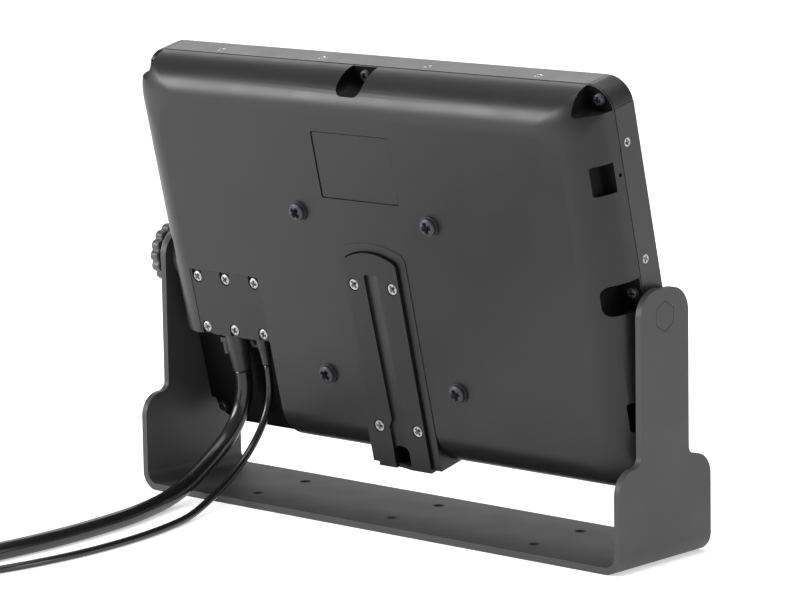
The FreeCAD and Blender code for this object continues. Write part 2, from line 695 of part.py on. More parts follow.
def make_rear_cover():
    wall = SIZE["cover_wall"]
    outer = rolled_block("cover_outer", 0.0, 0.0)
    hollow = rolled_block("cover_hollow", wall, wall)

    boss = box("stand_boss", ("-stand_boss_width / 2", "seam", "bottom_edge"),
               ("stand_boss_width", "rear_face - seam", 95.5))
    arch = rod("stand_arch", (0, "seam", 19.0 - 24.0), 31.0, "rear_face - seam", ALONG_Y)
    arch_zone = box("stand_arch_zone", ("-stand_boss_width / 2", "seam", 10),
                    ("stand_boss_width", "rear_face - seam", 30))
    boss_top = common("stand_boss_top", arch, arch_zone)
    outside = join("cover_outside", [outer, boss, boss_top])

    cups = pocket_shapes("cup", SIZE["pocket_wall"], 0.0)
    for index, (column, height) in enumerate(vesa_places()):
        cups.append(rod("vesa_boss_%d" % index, (column, 11.0, height), 5.0, 12.0, ALONG_Y))
    for index, (column, height) in enumerate(hatch_screw_places()):
        cups.append(rod("hatch_boss_%d" % index, (column, 17.3, height), 2.4, 10.0, ALONG_Y))
    cavity = cut("cover_cavity", hollow, join("cover_cups", cups))
    shell = cut("cover_shell", outside, cavity)

    cuts = pocket_shapes("pocket", 0.0, "pocket_floor")
    cuts.append(box("stand_recess", ("-stand_width / 2 - 0.2", "stand_face - 3", -140),
                    ("stand_width + 0.4", 20, 158.4)))
    cuts.append(common("stand_recess_arch",
                       rod("recess_arch", (0, "stand_face - 3", 22.6 - 29.4), 29.4, 20, ALONG_Y),
                       box("recess_arch_zone", ("-stand_width / 2 - 0.2", 0, 0),
                           ("stand_width + 0.4", 60, 40))))
    cuts.append(box("hatch_recess", ("bay_inner", "rear_face - hatch_gauge", "bay_roof - 5"),
                    ("hatch_outer - bay_inner", 20, "hatch_top - bay_roof + 5")))
    cuts.append(box("hatch_window", ("bay_inner + 7.5", "rear_face - 6", "bay_roof + 6.5"),
                    ("hatch_outer - bay_inner - 15", 20, "hatch_top - bay_roof - 13.5")))
    for name, column, radius in (("video", 99.8, 5.0), ("power", 83.5, 2.4)):
        cuts.append(rod(name + "_port", (column, 14, "bay_roof - 2"), radius, 10))
    cuts.append(box("label_recess", (-22.2, "rear_face - 0.25", 45.0), (44.4, 5, 30.0)))
    cuts.append(rod("pin_hole", (-128, 5.9, 62.4), 0.7, 10, Rotation(Vector(0, 1, 0), -90)))
    for index, (column, height) in enumerate(COVER_SCREWS):
        cuts.append(rod("cover_way_%d" % index, (column, 0, height), "cover_screw_shank + 0.15", 12, ALONG_Y))
        if height < -70 and column == 0.0:
            cuts.append(rod("cover_way_deep", (column, "pocket_floor", height), 3.2, 40, ALONG_Y))
    cuts.append(rod("cover_pivot_room", (-140, 0, 0), "insert_radius + 0.1", 280, ALONG_X))
    for index, (column, height) in enumerate(vesa_places()):
        cuts.append(rod("vesa_way_%d" % index, (column, 10.0, height), "vesa_screw_shank + 0.15", 20,
                        ALONG_Y))
        cuts.append(rod("vesa_seat_%d" % index, (column, 10.0, height), 3.02, 9.0, ALONG_Y))
    for index, (column, height) in enumerate(hatch_screw_places()):
        cuts.append(rod("hatch_way_%d" % index, (column, 14.0, height), 1.03, 20, ALONG_Y))
    for index, (column, height) in enumerate(stand_screw_places()):
        cuts.append(rod("stand_way_%d" % index, (column, 14.0, height), 1.53, 20, ALONG_Y))
    lean_back(cut("rear_cover", shell, join("cover_cuts", cuts)), "rear_cover")

    seal = rounded_plate("cover_gasket_ring", "chassis_half_width - 0.2", "chassis_bottom + 0.2",
                         "chassis_top - 0.2", "chassis_rear", "seam - chassis_rear", "corner_round - 2")
    room = box("cover_gasket_room", (-119, -20, -64), (238, 60, 151))
    ways = [box("gasket_pivot_gap_left", (112, -20, -6.5), (30, 60, 11.5)),
            box("gasket_pivot_gap_right", (-142, -20, -6.5), (30, 60, 11.5))]
    for index, (column, height) in enumerate(COVER_SCREWS):
        ways.append(rod("gasket_way_%d" % index, (column, 0, height), 1.5, 12, ALONG_Y))
    lean_back(cut("cover_gasket", seal, join("gasket_rooms", [room] + ways)), "cover_gasket")


def vesa_places():
    half = SIZE["vesa_pitch"] / 2
    return [(side * half, up * half) for side in (-1, 1) for up in (-1, 1)]


def hatch_screw_places():
    return [(column, height) for column in (74.0, 91.5, 108.5) for height in (0.2, -23.8)]


def stand_screw_places():
    return [(column, height) for column in (-11.0, 11.0) for height in (7.2, -58.0)]


def make_cover_screws():
    screws = []
    rings = []
    for index, (column, height) in enumerate(COVER_SCREWS):
        ring = cut("oring_%d" % index,
                   rod("oring_disc_%d" % index, (column, "pocket_floor", height), 2.6, 0.7, ALONG_Y),
                   rod("oring_bore_%d" % index, (column, 0, height), 1.3, 12, ALONG_Y))
        rings.append(ring)
        head = rod("cover_screw_head_%d" % index, (column, "pocket_floor + 0.7", height),
                   "cover_screw_head", 1.6, ALONG_Y)
        shank = rod("cover_screw_shank_%d" % index, (column, "pocket_floor - 6.4", height),
                    "cover_screw_shank", 7.6, ALONG_Y)
        screws.append(join("cover_screw_%d" % index, [head, shank]))
    lean_back(group("cover_screws", screws), "cover_screws")
    lean_back(group("cover_screw_orings", rings), "cover_screw_orings")


# ---- the pieces on the back ----------------------------------------------------------------------------

def make_hatch():
    plate = box("hatch_plate", ("bay_inner + 0.15", "rear_face - hatch_gauge + 0.02", "bay_roof"),
                ("hatch_outer - bay_inner - 0.3", "hatch_gauge", "hatch_top - bay_roof - 0.15"))
    seat = "rear_face - hatch_sink + 0.02"
    open_length = 10.0
    ways = []
    for index, (column, height) in enumerate(hatch_screw_places()):
        lower_end = height if height > -10 else height - open_length
        ways.append(rod("hatch_plate_way_%d" % index, (column, 10, height), 1.3, 30, ALONG_Y))
        ways.append(rod("hatch_plate_seat_%d" % index, (column, seat, height), "hatch_seat", 5, ALONG_Y))
        ways.append(box("hatch_plate_slot_%d" % index, ("%s - hatch_seat" % column, seat, lower_end),
                        ("2 * hatch_seat", 5, open_length)))
    lean_back(cut("connector_cover", plate, join("hatch_plate_ways", ways)), "connector_cover")
    screws = []
    for index, (column, height) in enumerate(hatch_screw_places()):
        head = rod("hatch_screw_head_%d" % index, (column, "rear_face - hatch_sink + 0.04", height), 2.4,
                   1.2, ALONG_Y)
        shank = rod("hatch_screw_shank_%d" % index, (column, "rear_face - 5", height), 1.0, 6.0, ALONG_Y)
        screws.append(join("hatch_screw_%d" % index, [head, shank]))
    lean_back(group("connector_cover_screws", screws), "connector_cover_screws")


def make_sockets():
    roof = SIZE["bay_roof"]
    for label, column, wide, deep, high, bore in (
            ("video_socket", 99.8, 15.0, 6.0, 11.0, 3.4), ("power_socket", 83.5, 8.0, 7.0, 11.0, 1.6)):
        shell = box(label + "_shell", (column - wide / 2, 14 - deep / 2, roof + 2.0), (wide, deep, high))
        hole = rod(label + "_bore", (column, 14, roof - 1), bore * 0.62, 10.2)
        lean_back(cut(label, shell, hole), label)
    plate = box("spare_plate", (88.6, 9.0, roof - 9.2), (5.6, 1.0, 9.2))
    post = rod("spare_post", (91.6, 10.0, roof - 6.4), 1.4, 3.0, ALONG_Y)
    lean_back(join("spare_bracket", [plate, post]), "spare_bracket")
    nut = hexagon("spare_nut_blank", (91.6, 10.0, roof - 6.4), "4.4", 2.0, ALONG_Y)
    way = rod("spare_nut_way", (91.6, 5.0, roof - 6.4), 1.42, 20, ALONG_Y)
    lean_back(cut("spare_nut", nut, way), "spare_nut")


THUMBSCREW_X = 106.8


def make_plugs():
    roof = SIZE["bay_roof"]
    nose = rod("video_nose", (99.8, 14, roof + 0.5), 2.0, 8.0)
    head = rod("video_head", (99.8, 14, roof - 9.0), 4.9, 8.8)
    ear = box("video_ear", (102.8, 12.2, roof - 6.6), (5.6, 3.6, 2.4))
    ear_way = rod("video_ear_way", (THUMBSCREW_X, 14, roof - 12), 1.15, 20)
    sleeve = taper("video_sleeve", (99.8, 14, roof - 9.0), 4.7, 4.1, 10.0, DOWN)
    neck = rod("video_neck", (99.8, 14, roof - 1.0), 2.0, 2.0)
    body = join("video_plug_solid", [nose, neck, head, ear, sleeve])
    lean_back(cut("video_plug", body, ear_way), "video_plug")
    screw_head = rod("video_screw_head", (THUMBSCREW_X, 14, roof - 12.2), 1.7, 5.3)
    screw_shank = rod("video_screw_shank", (THUMBSCREW_X, 14, roof - 7.0), 1.0, 6.6)
    lean_back(join("video_plug_thumbscrew", [screw_head, screw_shank]), "video_plug_thumbscrew")

    nose = rod("power_nose", (83.5, 14, roof + 0.5), 0.95, 8.0)
    grip = rod("power_grip", (83.5, 14, roof - 7.0), 2.8, 6.6)
    sleeve = taper("power_sleeve", (83.5, 14, roof - 7.0), 2.5, 2.0, 8.0, DOWN)
    neck = rod("power_neck", (83.5, 14, roof - 1.0), 0.95, 2.0)
    lean_back(join("power_plug", [nose, neck, grip, sleeve]), "power_plug")


def make_stand_rail():
    plate = box("stand_plate", ("-stand_width / 2", "stand_face - 2.98", -77.0), ("stand_width", 2.98, 95.2))
    arch = common("stand_plate_arch",
                  rod("stand_plate_round", (0, "stand_face - 2.98", 22.4 - 29.2), 29.2, 2.98, ALONG_Y),
                  box("stand_plate_zone", ("-stand_width / 2", 0, 0), ("stand_width", 60, 40)))
    solid = join("stand_plate_solid", [plate, arch])
    cuts = [box("stand_channel", (-2.6, "stand_face - 0.8", -78), (6.2, 10, 90.0)),
            box("stand_window", (-4.0, 10, -75.2), (9.2, 20, 8.6))]
    for index, (column, height) in enumerate(stand_screw_places()):
        cuts.append(rod("stand_plate_way_%d" % index, (column, 10, height), 1.6, 30, ALONG_Y))
        cuts.append(taper("stand_plate_sink_%d" % index, (column, "stand_face", height), 2.6, 1.5, 1.1,
                          Rotation(Vector(1, 0, 0), 90)))
    lean_back(cut("stand_rail", solid, join("stand_cuts", cuts)), "stand_rail")
    screws = [countersunk_screw("stand_screw_%d" % index, (column, "stand_face - 0.1", height),
                                Rotation(Vector(1, 0, 0), 90), 2.45, 1.5, 8.0)
              for index, (column, height) in enumerate(stand_screw_places())]
    lean_back(group("stand_rail_screws", screws), "stand_rail_screws")


def make_vesa():
    screws = []
    washers = []
    inserts = []
    for index, (column, height) in enumerate(vesa_places()):
        washers.append(cut("vesa_washer_%d" % index,
                           rod("vesa_washer_disc_%d" % index, (column, "rear_face + 0.02", height), 4.6, 0.9,
                               ALONG_Y),
                           rod("vesa_washer_bore_%d" % index, (column, 10, height), 2.15, 30, ALONG_Y)))
        head = rod("vesa_head_%d" % index, (column, "rear_face + 0.92", height), "vesa_screw_head", 2.3,
                   ALONG_Y)
        shank = rod("vesa_shank_%d" % index, (column, 12.2, height), "vesa_screw_shank", 12.0, ALONG_Y)
        screws.append(join("vesa_screw_%d" % index, [head, shank]))
        inserts.append(cut("vesa_insert_%d" % index,
                           rod("vesa_insert_tube_%d" % index, (column, 12.0, height), 3.0, 6.8, ALONG_Y),
                           rod("vesa_insert_bore_%d" % index, (column, 5, height), 2.0, 30, ALONG_Y)))
    lean_back(group("vesa_screws", screws), "vesa_screws")
    lean_back(group("vesa_washers", washers), "vesa_washers")
    lean_back(group("vesa_inserts", inserts), "vesa_inserts")


def make_pivot_pieces():
    """The threaded insert and the plain bush in the housing's sides, and the friction washers beside them."""
    for label, start in (("pivot_insert_left", "half_width - 14"), ("pivot_bush_right", "-half_width")):
        tube = rod(label + "_tube", (start, 0, 0), "insert_radius", 14, ALONG_X)
        bore = rod(label + "_bore", (start + " - 5", 0, 0), "insert_bore", 30, ALONG_X)
        lean_back(cut(label, tube, bore), label)
    for label, start, gauge in (("friction_washer_left", "half_width + 0.05", 2.65),
                                ("friction_washer_right", "-half_width - 1.65", 1.6)):
        disc = rod(label + "_disc", (start, 0, 0), 11.0, gauge, ALONG_X)
        bore = rod(label + "_bore", (start + " - 5", 0, 0), 3.3, 30, ALONG_X)
        lean_back(cut(label, disc, bore), label)


# ---- the cords -----------------------------------------------------------------------------------------

# Each cord leaves its plug downwards, falls behind the base's rear edge, and runs back along the floor to
# the coil that holds the rest of its length. The points are its route's corners.
VIDEO_ROUTE = [
    Vector(99.8, 3.22, 54.94), Vector(99.8, 2.36, 51.2), Vector(100.3, 1.72, 43.8),
    Vector(101.4, 3, 36.4), Vector(102.3, 6.3, 29.4), Vector(103, 11.4, 23.3),
    Vector(103.6, 18, 18.1), Vector(103.3, 27.4, 12.3), Vector(101.8, 39.4, 6.75),
    Vector(98.6, 53.8, 4), Vector(93.6, 68.6, 3.8), Vector(89, 84.4, 3.8),
    Vector(86.2, 101, 3.8), Vector(84.2, 119, 3.8), Vector(83.2, 138, 3.8),
    Vector(83.7, 158, 3.8), Vector(85.4, 178, 3.8), Vector(87.4, 198, 3.8),
    Vector(88.2, 216, 3.8),
]
POWER_ROUTE = [
    Vector(83.5, 4.19, 58.90), Vector(83.5, 3.06, 54.06), Vector(83.7, 2.60, 44.10),
    Vector(84.1, 5.80, 34.10), Vector(84.5, 12.0, 24.80), Vector(84.3, 21.2, 16.60),
    Vector(82.6, 33.4, 9.60), Vector(79.0, 48.4, 4.60), Vector(73.8, 64.2, 1.75),
    Vector(68.4, 81.0, 1.65), Vector(64.2, 100.0, 1.65), Vector(61.8, 121.0, 1.65),
    Vector(61.4, 143.0, 1.65), Vector(63.6, 166.0, 1.65), Vector(68.4, 188.0, 1.65),
    Vector(75.0, 209.0, 1.65), Vector(80.0, 228.0, 1.65), Vector(82.5, 246.0, 1.65),
]


def cord_path(points):
    """Straight runs joined by tangent arcs: each arc's radius is 0.45 of its shorter run over the tangent
    of half the turn."""
    edges = []
    radii = []
    start = points[0]
    for before, corner, after in zip(points, points[1:], points[2:]):
        way_in = (corner - before).normalize()
        way_out = (after - corner).normalize()
        turn = way_in.getAngle(way_out)
        reach = 0.45 * min((corner - before).Length, (after - corner).Length)
        radius = reach / math.tan(turn / 2)
        radii.append(radius)
        entry = corner - way_in * reach
        leave = corner + way_out * reach
        inward = (way_out - way_in).normalize()
        centre = corner + inward * (radius / math.cos(turn / 2))
        middle = centre - inward * radius
        edges.append(Part.LineSegment(start, entry).toShape())
        edges.append(Part.Arc(entry, middle, leave).toShape())
        start = leave
    edges.append(Part.LineSegment(start, points[-1]).toShape())
    return Part.Wire(edges), radii


def make_cord(label, points, alias):
    diameter = sheet.get(alias)
    path, radii = cord_path(points)
    first = (points[1] - points[0]).normalize()
    section = Part.Wire(Part.Circle(points[0], first, diameter / 2).toShape())
    tube = path.makePipeShell([section], True, False)
    item = doc.addObject("Part::Feature", label)
    item.Shape = tube
    item.Placement = Placement()
    node(item, label)
    expected = math.pi * diameter ** 2 / 4 * path.Length
    print("%s: length %.1f mm, volume %.0f of %.0f, radii %s" % (
        label, path.Length, tube.Volume, expected, " ".join("%.0f" % radius for radius in radii)))


def make_coil(label, centre, middle_radius, across, layers, alias):
    """The coil's outer shape: turns that lie beside and on each other."""
    diameter = sheet.get(alias)
    half = across * diameter / 2
    outer = rod(label + "_outer", (centre[0], centre[1], 0), middle_radius + half, layers * diameter)
    inner = rod(label + "_inner", (centre[0], centre[1], -1), middle_radius - half, layers * diameter + 2)
    node(cut(label, outer, inner), label)


def make_far_plugs():
    """The plugs on the far ends; each lies on its coil, in line with the turns under it."""
    rest = "3 * video_cord"
    head = box("video_far_head", (122.0, 250.0, rest), (30.0, 20.0, 11.0))
    nose = box("video_far_nose", (152.0, 253.0, rest + " + 3.2"), (11.0, 14.0, 4.6))
    sleeve = taper("video_far_sleeve", (122.0, 260.0, rest + " + 5.5"), 5.2, 4.1, 14.0,
                   Rotation(Vector(0, 1, 0), -90))
    node(join("video_cable_plug", [head, nose, sleeve]), "video_cable_plug")

    rest = "4 * power_cord"
    grip = rod("power_far_grip", (49.0, 266.0, rest + " + 4.0"), 4.0, 18.0, ALONG_X)
    nose = rod("power_far_nose", (40.0, 266.0, rest + " + 4.0"), 2.75, 9.5, ALONG_X)
    sleeve = taper("power_far_sleeve", (67.0, 266.0, rest + " + 4.0"), 3.2, 2.0, 9.0, ALONG_X)
    node(join("power_cable_plug", [grip, nose, sleeve]), "power_cable_plug")


def make_cords():
    make_cord("video_cable", VIDEO_ROUTE, "video_cord")
    make_cord("power_cable", POWER_ROUTE, "power_cord")
    make_coil("video_cable_coil", (134.0, 218.0), 42.0, 2, 3, "video_cord")
    make_coil("power_cable_coil", (60.2, 247.0), 19.0, 3, 4, "power_cord")
    make_far_plugs()


doc.recompute()
make_bracket()
make_hexagon_pivot()
make_knob()
make_band()
make_rail_screws()
make_screen()
make_chassis()
make_board("main_board", MAIN_BOARD_POSTS, 5.0)
make_board("power_board", POWER_BOARD_POSTS, 4.5)
make_rear_cover()
make_cover_screws()
make_hatch()
make_sockets()
make_plugs()
make_stand_rail()
make_vesa()
make_pivot_pieces()
make_cords()
doc.recompute()

# ---- check and write -----------------------------------------------------------------------------------

for item in doc.Objects:
    if "Invalid" in item.State or "Error" in item.State:
        raise RuntimeError("%s failed: %s" % (item.Label, item.State))
for item in nodes:
    if item.Shape.isNull() or not item.Shape.isValid():
        raise RuntimeError(item.Label + " has no valid shape")

os.makedirs("parts", exist_ok=True)
for item in nodes:
    item.Shape.exportStep(os.path.join("parts", item.Label + ".step"))
print(len(nodes), "nodes written")
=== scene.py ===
import json
import logging
import math
from dataclasses import dataclass, replace
from enum import Enum
from typing import Callable, Dict, Iterable, List, Optional, Sequence, Tuple

import bmesh
import bpy
from mathutils import Matrix, Vector


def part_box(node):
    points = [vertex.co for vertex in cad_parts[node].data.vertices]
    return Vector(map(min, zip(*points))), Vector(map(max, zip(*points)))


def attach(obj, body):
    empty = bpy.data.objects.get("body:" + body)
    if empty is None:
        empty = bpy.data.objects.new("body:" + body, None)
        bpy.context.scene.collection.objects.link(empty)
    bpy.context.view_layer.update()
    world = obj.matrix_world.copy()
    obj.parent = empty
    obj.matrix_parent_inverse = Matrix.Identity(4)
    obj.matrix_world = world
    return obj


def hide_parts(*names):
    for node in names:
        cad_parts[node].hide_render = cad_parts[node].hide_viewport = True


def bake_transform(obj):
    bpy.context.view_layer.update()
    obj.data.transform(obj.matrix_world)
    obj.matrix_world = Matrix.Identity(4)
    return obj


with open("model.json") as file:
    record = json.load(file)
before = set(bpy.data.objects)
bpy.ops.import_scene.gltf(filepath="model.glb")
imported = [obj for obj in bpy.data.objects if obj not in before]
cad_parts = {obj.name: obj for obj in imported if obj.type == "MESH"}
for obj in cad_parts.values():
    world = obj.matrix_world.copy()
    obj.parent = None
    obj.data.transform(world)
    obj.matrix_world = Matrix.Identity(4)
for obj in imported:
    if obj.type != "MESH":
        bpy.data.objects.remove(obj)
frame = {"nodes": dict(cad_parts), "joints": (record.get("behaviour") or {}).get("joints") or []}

# A chartplotter display on its U-bracket, in metres, in the frame of its CAD model: +Z up, the bracket
# stands on z = 0, +X runs along the width to the hand knob, and the screen looks towards -Y.
# The housing is drawn upright about the pivot (x across, y backwards, z up) and then leaned back.

LOG = logging.getLogger("chartplotter")
MM = 0.001
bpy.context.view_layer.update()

Point = Tuple[float, float, float]
Flat = Tuple[float, float]
Outline = List[Flat]
Piece = bpy.types.Object
Tree = bpy.types.NodeTree
Socket = bpy.types.NodeSocket


def joint_named(name: str) -> dict:
    """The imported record's joint of that name."""
    return next(joint for joint in frame["joints"] if joint["name"] == name)


def housing_placement() -> Matrix:
    """Where the upright drawing of the housing goes: leaned back about the pivot and lifted to it."""
    pivot = Vector(joint_named("tilt")["pos_m"])
    upward = -Vector(joint_named("thumbscrew_turn")["axis"])
    lean = math.atan2(upward.y, upward.z)
    return Matrix.Translation(pivot) @ Matrix.Rotation(-lean, 4, "X")


HOUSING = housing_placement()


# ---- finishes ----


class Slot(Enum):
    """The record's material slots of the pieces made here."""

    BRACKET = "bracket_paint"
    COVER = "cover_shell"
    RAIL = "rail_metal"
    FITTING = "rear_fittings"
    RUBBER = "dark_rubber"
    BLACK_SCREW = "black_screw"
    STEEL_SCREW = "steel_screw"
    KNOB = "knob_plastic"
    CORD = "cord_jacket"
    PLUG = "plug_mould"


def set_inputs(tree: Tree, node: bpy.types.Node, values: dict) -> None:
    """Sets a node's inputs, by name or number, to values or to the sockets that feed them."""
    for key, value in values.items():
        if isinstance(value, Socket):
            tree.links.new(value, node.inputs[key])
        else:
            node.inputs[key].default_value = value


def add_node(tree: Tree, kind: str, values: Optional[dict] = None,
             **settings) -> bpy.types.Node:
    """Adds a node.

    Args:
        tree: the node tree.
        kind: the node's type.
        values: its inputs, as for set_inputs.
        settings: its own properties.

    Returns:
        The new node.
    """
    node = tree.nodes.new(kind)
    for name, setting in settings.items():
        setattr(node, name, setting)
    set_inputs(tree, node, values or {})
    return node


def add_noise(tree: Tree, place: Socket, size: float,
              detail: float) -> Socket:
    """A noise of the given feature size in metres; gives its factor."""
    values = {"Scale": 1.0 / size, "Detail": detail, "Vector": place}
    return add_node(tree, "ShaderNodeTexNoise", values).outputs["Fac"]


def opaque(colour: Iterable[float], change: float = 1.0, lift: float = 0.0) -> Tuple[float, ...]:
    """A colour made stronger or weaker and lifted, with full opacity."""
    return (*(min(1.0, part * change + lift) for part in colour), 1.0)


@dataclass(frozen=True)
class Surface:
    """What every finish has: a name, and one material made when it is first asked for."""

    name: str

    def material(self) -> bpy.types.Material:
        """Builds the node material once, and gives the same one after that."""
        ready = bpy.data.materials.get(self.name)
        if ready is not None:
            return ready
        made = bpy.data.materials.new(self.name)
        made.use_nodes = True
        tree = made.node_tree
        place = add_node(tree, "ShaderNodeTexCoord").outputs["Object"]
        self.fill(tree, tree.nodes["Principled BSDF"], place)
        return made

    def fill(self, tree: Tree, shader: bpy.types.Node, place: Socket) -> None:
        """Sets the shader's inputs from the object's own coordinates."""
        raise NotImplementedError


@dataclass(frozen=True)
class Finish(Surface):
    """A hard surface: its colour, gloss, fine grain, blotches of use and paler edges, partly rubbed wear and
    partly painted highlight.
    """

    colour: Tuple[float, float, float]
    roughness: float
    metallic: float = 0.0
    specular: float = 0.5
    coat: float = 0.0
    grain_size: float = 0.0006
    grain_depth: float = 0.00003
    grain_strength: float = 0.25
    blotch: float = 0.12
    blotch_size: float = 0.03
    gloss_change: float = 0.08
    handling_size: float = 0.018
    # Paler edges: part rubbed wear, part painted highlight that gives edges and screw heads their glints.
    edge_wear_and_glint: float = 0.35
    edge_radius: float = 0.0005
    wear_and_glint_patch: float = 0.012
    lines: float = 0.0

    def fill(self, tree: Tree, shader: bpy.types.Node, place: Socket) -> None:
        """Sets constants on the shader itself and feeds the colour, the gloss and the relief."""
        set_inputs(tree, shader, {
            "Metallic": self.metallic, "Specular IOR Level": self.specular, "Coat Weight": self.coat,
            "Coat Roughness": 0.2, "Base Color": self._colour(tree, place),
            "Roughness": self._gloss(tree, place), "Normal": self._grain(tree, place)})

    def _colour(self, tree: Tree, place: Socket) -> Socket:
        """The base colour: two near shades in soft blotches, paler near edges in patches, both as rubbed
        wear and as a painted edge highlight.
        """
        shades = add_node(tree, "ShaderNodeMix", {
            0: add_noise(tree, place, self.blotch_size, 3.0), 6: opaque(self.colour, 1 - self.blotch),
            7: opaque(self.colour, 1 + self.blotch)}, data_type="RGBA")
        # Paler colour on edges: rubbed wear and a painted edge highlight.
        worn_and_glinting = add_node(tree, "ShaderNodeMix", {
            0: self._worn_and_glinting_edges(tree, place), 6: shades.outputs[2],
            7: opaque(self.colour, 1.6, 0.02)}, data_type="RGBA")
        return worn_and_glinting.outputs[2]

    def _worn_and_glinting_edges(self, tree: Tree, place: Socket) -> Socket:
        """How much a point is paled: near an edge, and only in patches; partly rubbed wear, partly a painted
        edge highlight.
        """
        rounded = add_node(tree, "ShaderNodeBevel", {"Radius": self.edge_radius}, samples=4)
        flat = add_node(tree, "ShaderNodeNewGeometry")
        match = add_node(tree, "ShaderNodeVectorMath",
                         {0: rounded.outputs["Normal"], 1: flat.outputs["Normal"]}, operation="DOT_PRODUCT")
        edge = add_node(tree, "ShaderNodeMapRange",
                        {"From Min": 0.995, "From Max": 0.9, "Value": match.outputs["Value"]})
        patches = add_node(tree, "ShaderNodeMapRange", {
            "From Min": 0.4, "From Max": 0.7, "To Max": self.edge_wear_and_glint,
            "Value": add_noise(tree, place, self.wear_and_glint_patch, 4.0)})
        both = add_node(tree, "ShaderNodeMath",
                        {0: edge.outputs["Result"], 1: patches.outputs["Result"]}, operation="MULTIPLY")
        return both.outputs["Value"]

    def _gloss(self, tree: Tree, place: Socket) -> Socket:
        """Roughness that changes a little where the surface has been handled."""
        spread = add_node(tree, "ShaderNodeMapRange", {
            "To Min": max(0.02, self.roughness - self.gloss_change),
            "To Max": min(1.0, self.roughness + self.gloss_change),
            "Value": add_noise(tree, place, self.handling_size, 5.0)})
        return spread.outputs["Result"]

    def _grain(self, tree: Tree, place: Socket) -> Socket:
        """The fine relief: a moulded grain, or the lines that a brush or a lathe leaves."""
        if self.lines > 0:
            stretch = add_node(tree, "ShaderNodeMapping",
                               {"Scale": (self.lines, 1.0, self.lines), "Vector": place})
            place = stretch.outputs["Vector"]
        bump = add_node(tree, "ShaderNodeBump", {
            "Strength": self.grain_strength, "Distance": self.grain_depth,
            "Height": add_noise(tree, place, self.grain_size, 2.0)})
        return bump.outputs["Normal"]


@dataclass(frozen=True)
class GlassFinish(Surface):
    """Clear or tinted glass, with faint wiping marks in its gloss."""

    tint: Tuple[float, float, float]
    roughness: float = 0.02
    mark_size: float = 0.025

    def fill(self, tree: Tree, shader: bpy.types.Node, place: Socket) -> None:
        """Sets the glass's constants and feeds its gloss."""
        spread = add_node(tree, "ShaderNodeMapRange", {
            "To Min": self.roughness, "To Max": self.roughness * 3,
            "Value": add_noise(tree, place, self.mark_size, 2.0)})
        set_inputs(tree, shader, {
            "Base Color": opaque(self.tint), "Transmission Weight": 1.0, "IOR": 1.5,
            "Roughness": spread.outputs["Result"]})


COVER_PLASTIC = Finish("cover_plastic", (0.0105, 0.0105, 0.011), 0.37, specular=0.38, edge_wear_and_glint=0.8,
                       grain_size=0.0005, grain_depth=0.00004, grain_strength=0.35)
RAIL_PAINT = Finish("rail_paint", (0.017, 0.017, 0.0175), 0.34, metallic=0.1, grain_size=0.0003,
                    grain_depth=0.00002)
BRACKET_COAT = Finish("bracket_powder_coat", (0.041, 0.041, 0.042), 0.5, specular=0.4, grain_size=0.0004,
                      grain_depth=0.00003, grain_strength=0.4, edge_wear_and_glint=0.5)
FITTING_PLASTIC = Finish("fitting_plastic", (0.012, 0.012, 0.0125), 0.4, grain_size=0.0004)
PLATE_PLASTIC = Finish("plate_plastic", (0.0085, 0.0085, 0.0088), 0.42, specular=0.36, grain_size=0.0004)
KNOB_PLASTIC = Finish("knob_plastic", (0.014, 0.014, 0.0145), 0.36, grain_size=0.0005)
WASHER_NYLON = Finish("washer_nylon", (0.1, 0.1, 0.1), 0.5)
BLACK_SCREW = Finish("black_screw", (0.05, 0.05, 0.052), 0.16, metallic=0.9, coat=0.6, grain_size=0.0003,
                     edge_wear_and_glint=0.9, edge_radius=0.0003)
STEEL_SCREW = Finish("steel_screw", (0.06, 0.06, 0.062), 0.3, metallic=1.0, grain_size=0.0002,
                     edge_wear_and_glint=0.25, edge_radius=0.0002)
RUBBER = Finish("black_rubber", (0.018, 0.018, 0.018), 0.65, grain_size=0.0003)
CORD_JACKET = Finish("cord_jacket", (0.0045, 0.0045, 0.0048), 0.12, specular=0.4, grain_size=0.0015,
                     grain_depth=0.00005, edge_wear_and_glint=0.0, coat=0.3, gloss_change=0.05)
# Near-black for the walls and floors of the cover's pockets, bay and holes: painted shade, darker than the
# cover's own plastic.
POCKET_SHADE_BLACK = Finish("painted_pocket_shade", (0.002, 0.002, 0.002), 0.6, specular=0.12, edge_wear_and_glint=0.0)
PLUG_MOULD = Finish("plug_mould", (0.008, 0.008, 0.0084), 0.28, grain_size=0.0006)
SCREEN_PANEL = Finish("screen_panel", (0.006, 0.007, 0.009), 0.16, grain_size=0.0003,
                      grain_strength=0.05, edge_wear_and_glint=0.0)
MASK_INK = Finish("mask_ink", (0.004, 0.004, 0.004), 0.4, grain_strength=0.05, edge_wear_and_glint=0.0)
TRAY_STEEL = Finish("tray_steel", (0.55, 0.55, 0.56), 0.35, metallic=1.0, lines=0.05)
CAST_METAL = Finish("cast_metal", (0.42, 0.42, 0.43), 0.5, metallic=1.0, grain_strength=0.5)
INSERT_BRASS = Finish("brass", (0.65, 0.48, 0.2), 0.3, metallic=1.0)
BOARD_GREEN = Finish("board_green", (0.02, 0.12, 0.05), 0.4, edge_wear_and_glint=0.1)
CLEAR_GLASS = GlassFinish("clear_glass", (0.9, 0.92, 0.92))


# ---- mesh tools ----


def new_object(name: str, data: bpy.types.ID) -> Piece:
    """Links a new object that holds the mesh, the curve, the light or the camera."""
    made = bpy.data.objects.new(name, data)
    bpy.context.scene.collection.objects.link(made)
    return made


def mesh_from(shape: bmesh.types.BMesh, name: str) -> bpy.types.Mesh:
    """Turns a bmesh into a mesh with outward faces, and frees it."""
    bmesh.ops.remove_doubles(shape, verts=shape.verts, dist=1e-7)
    bmesh.ops.recalc_face_normals(shape, faces=shape.faces)
    mesh = bpy.data.meshes.new(name)
    shape.to_mesh(mesh)
    shape.free()
    return mesh


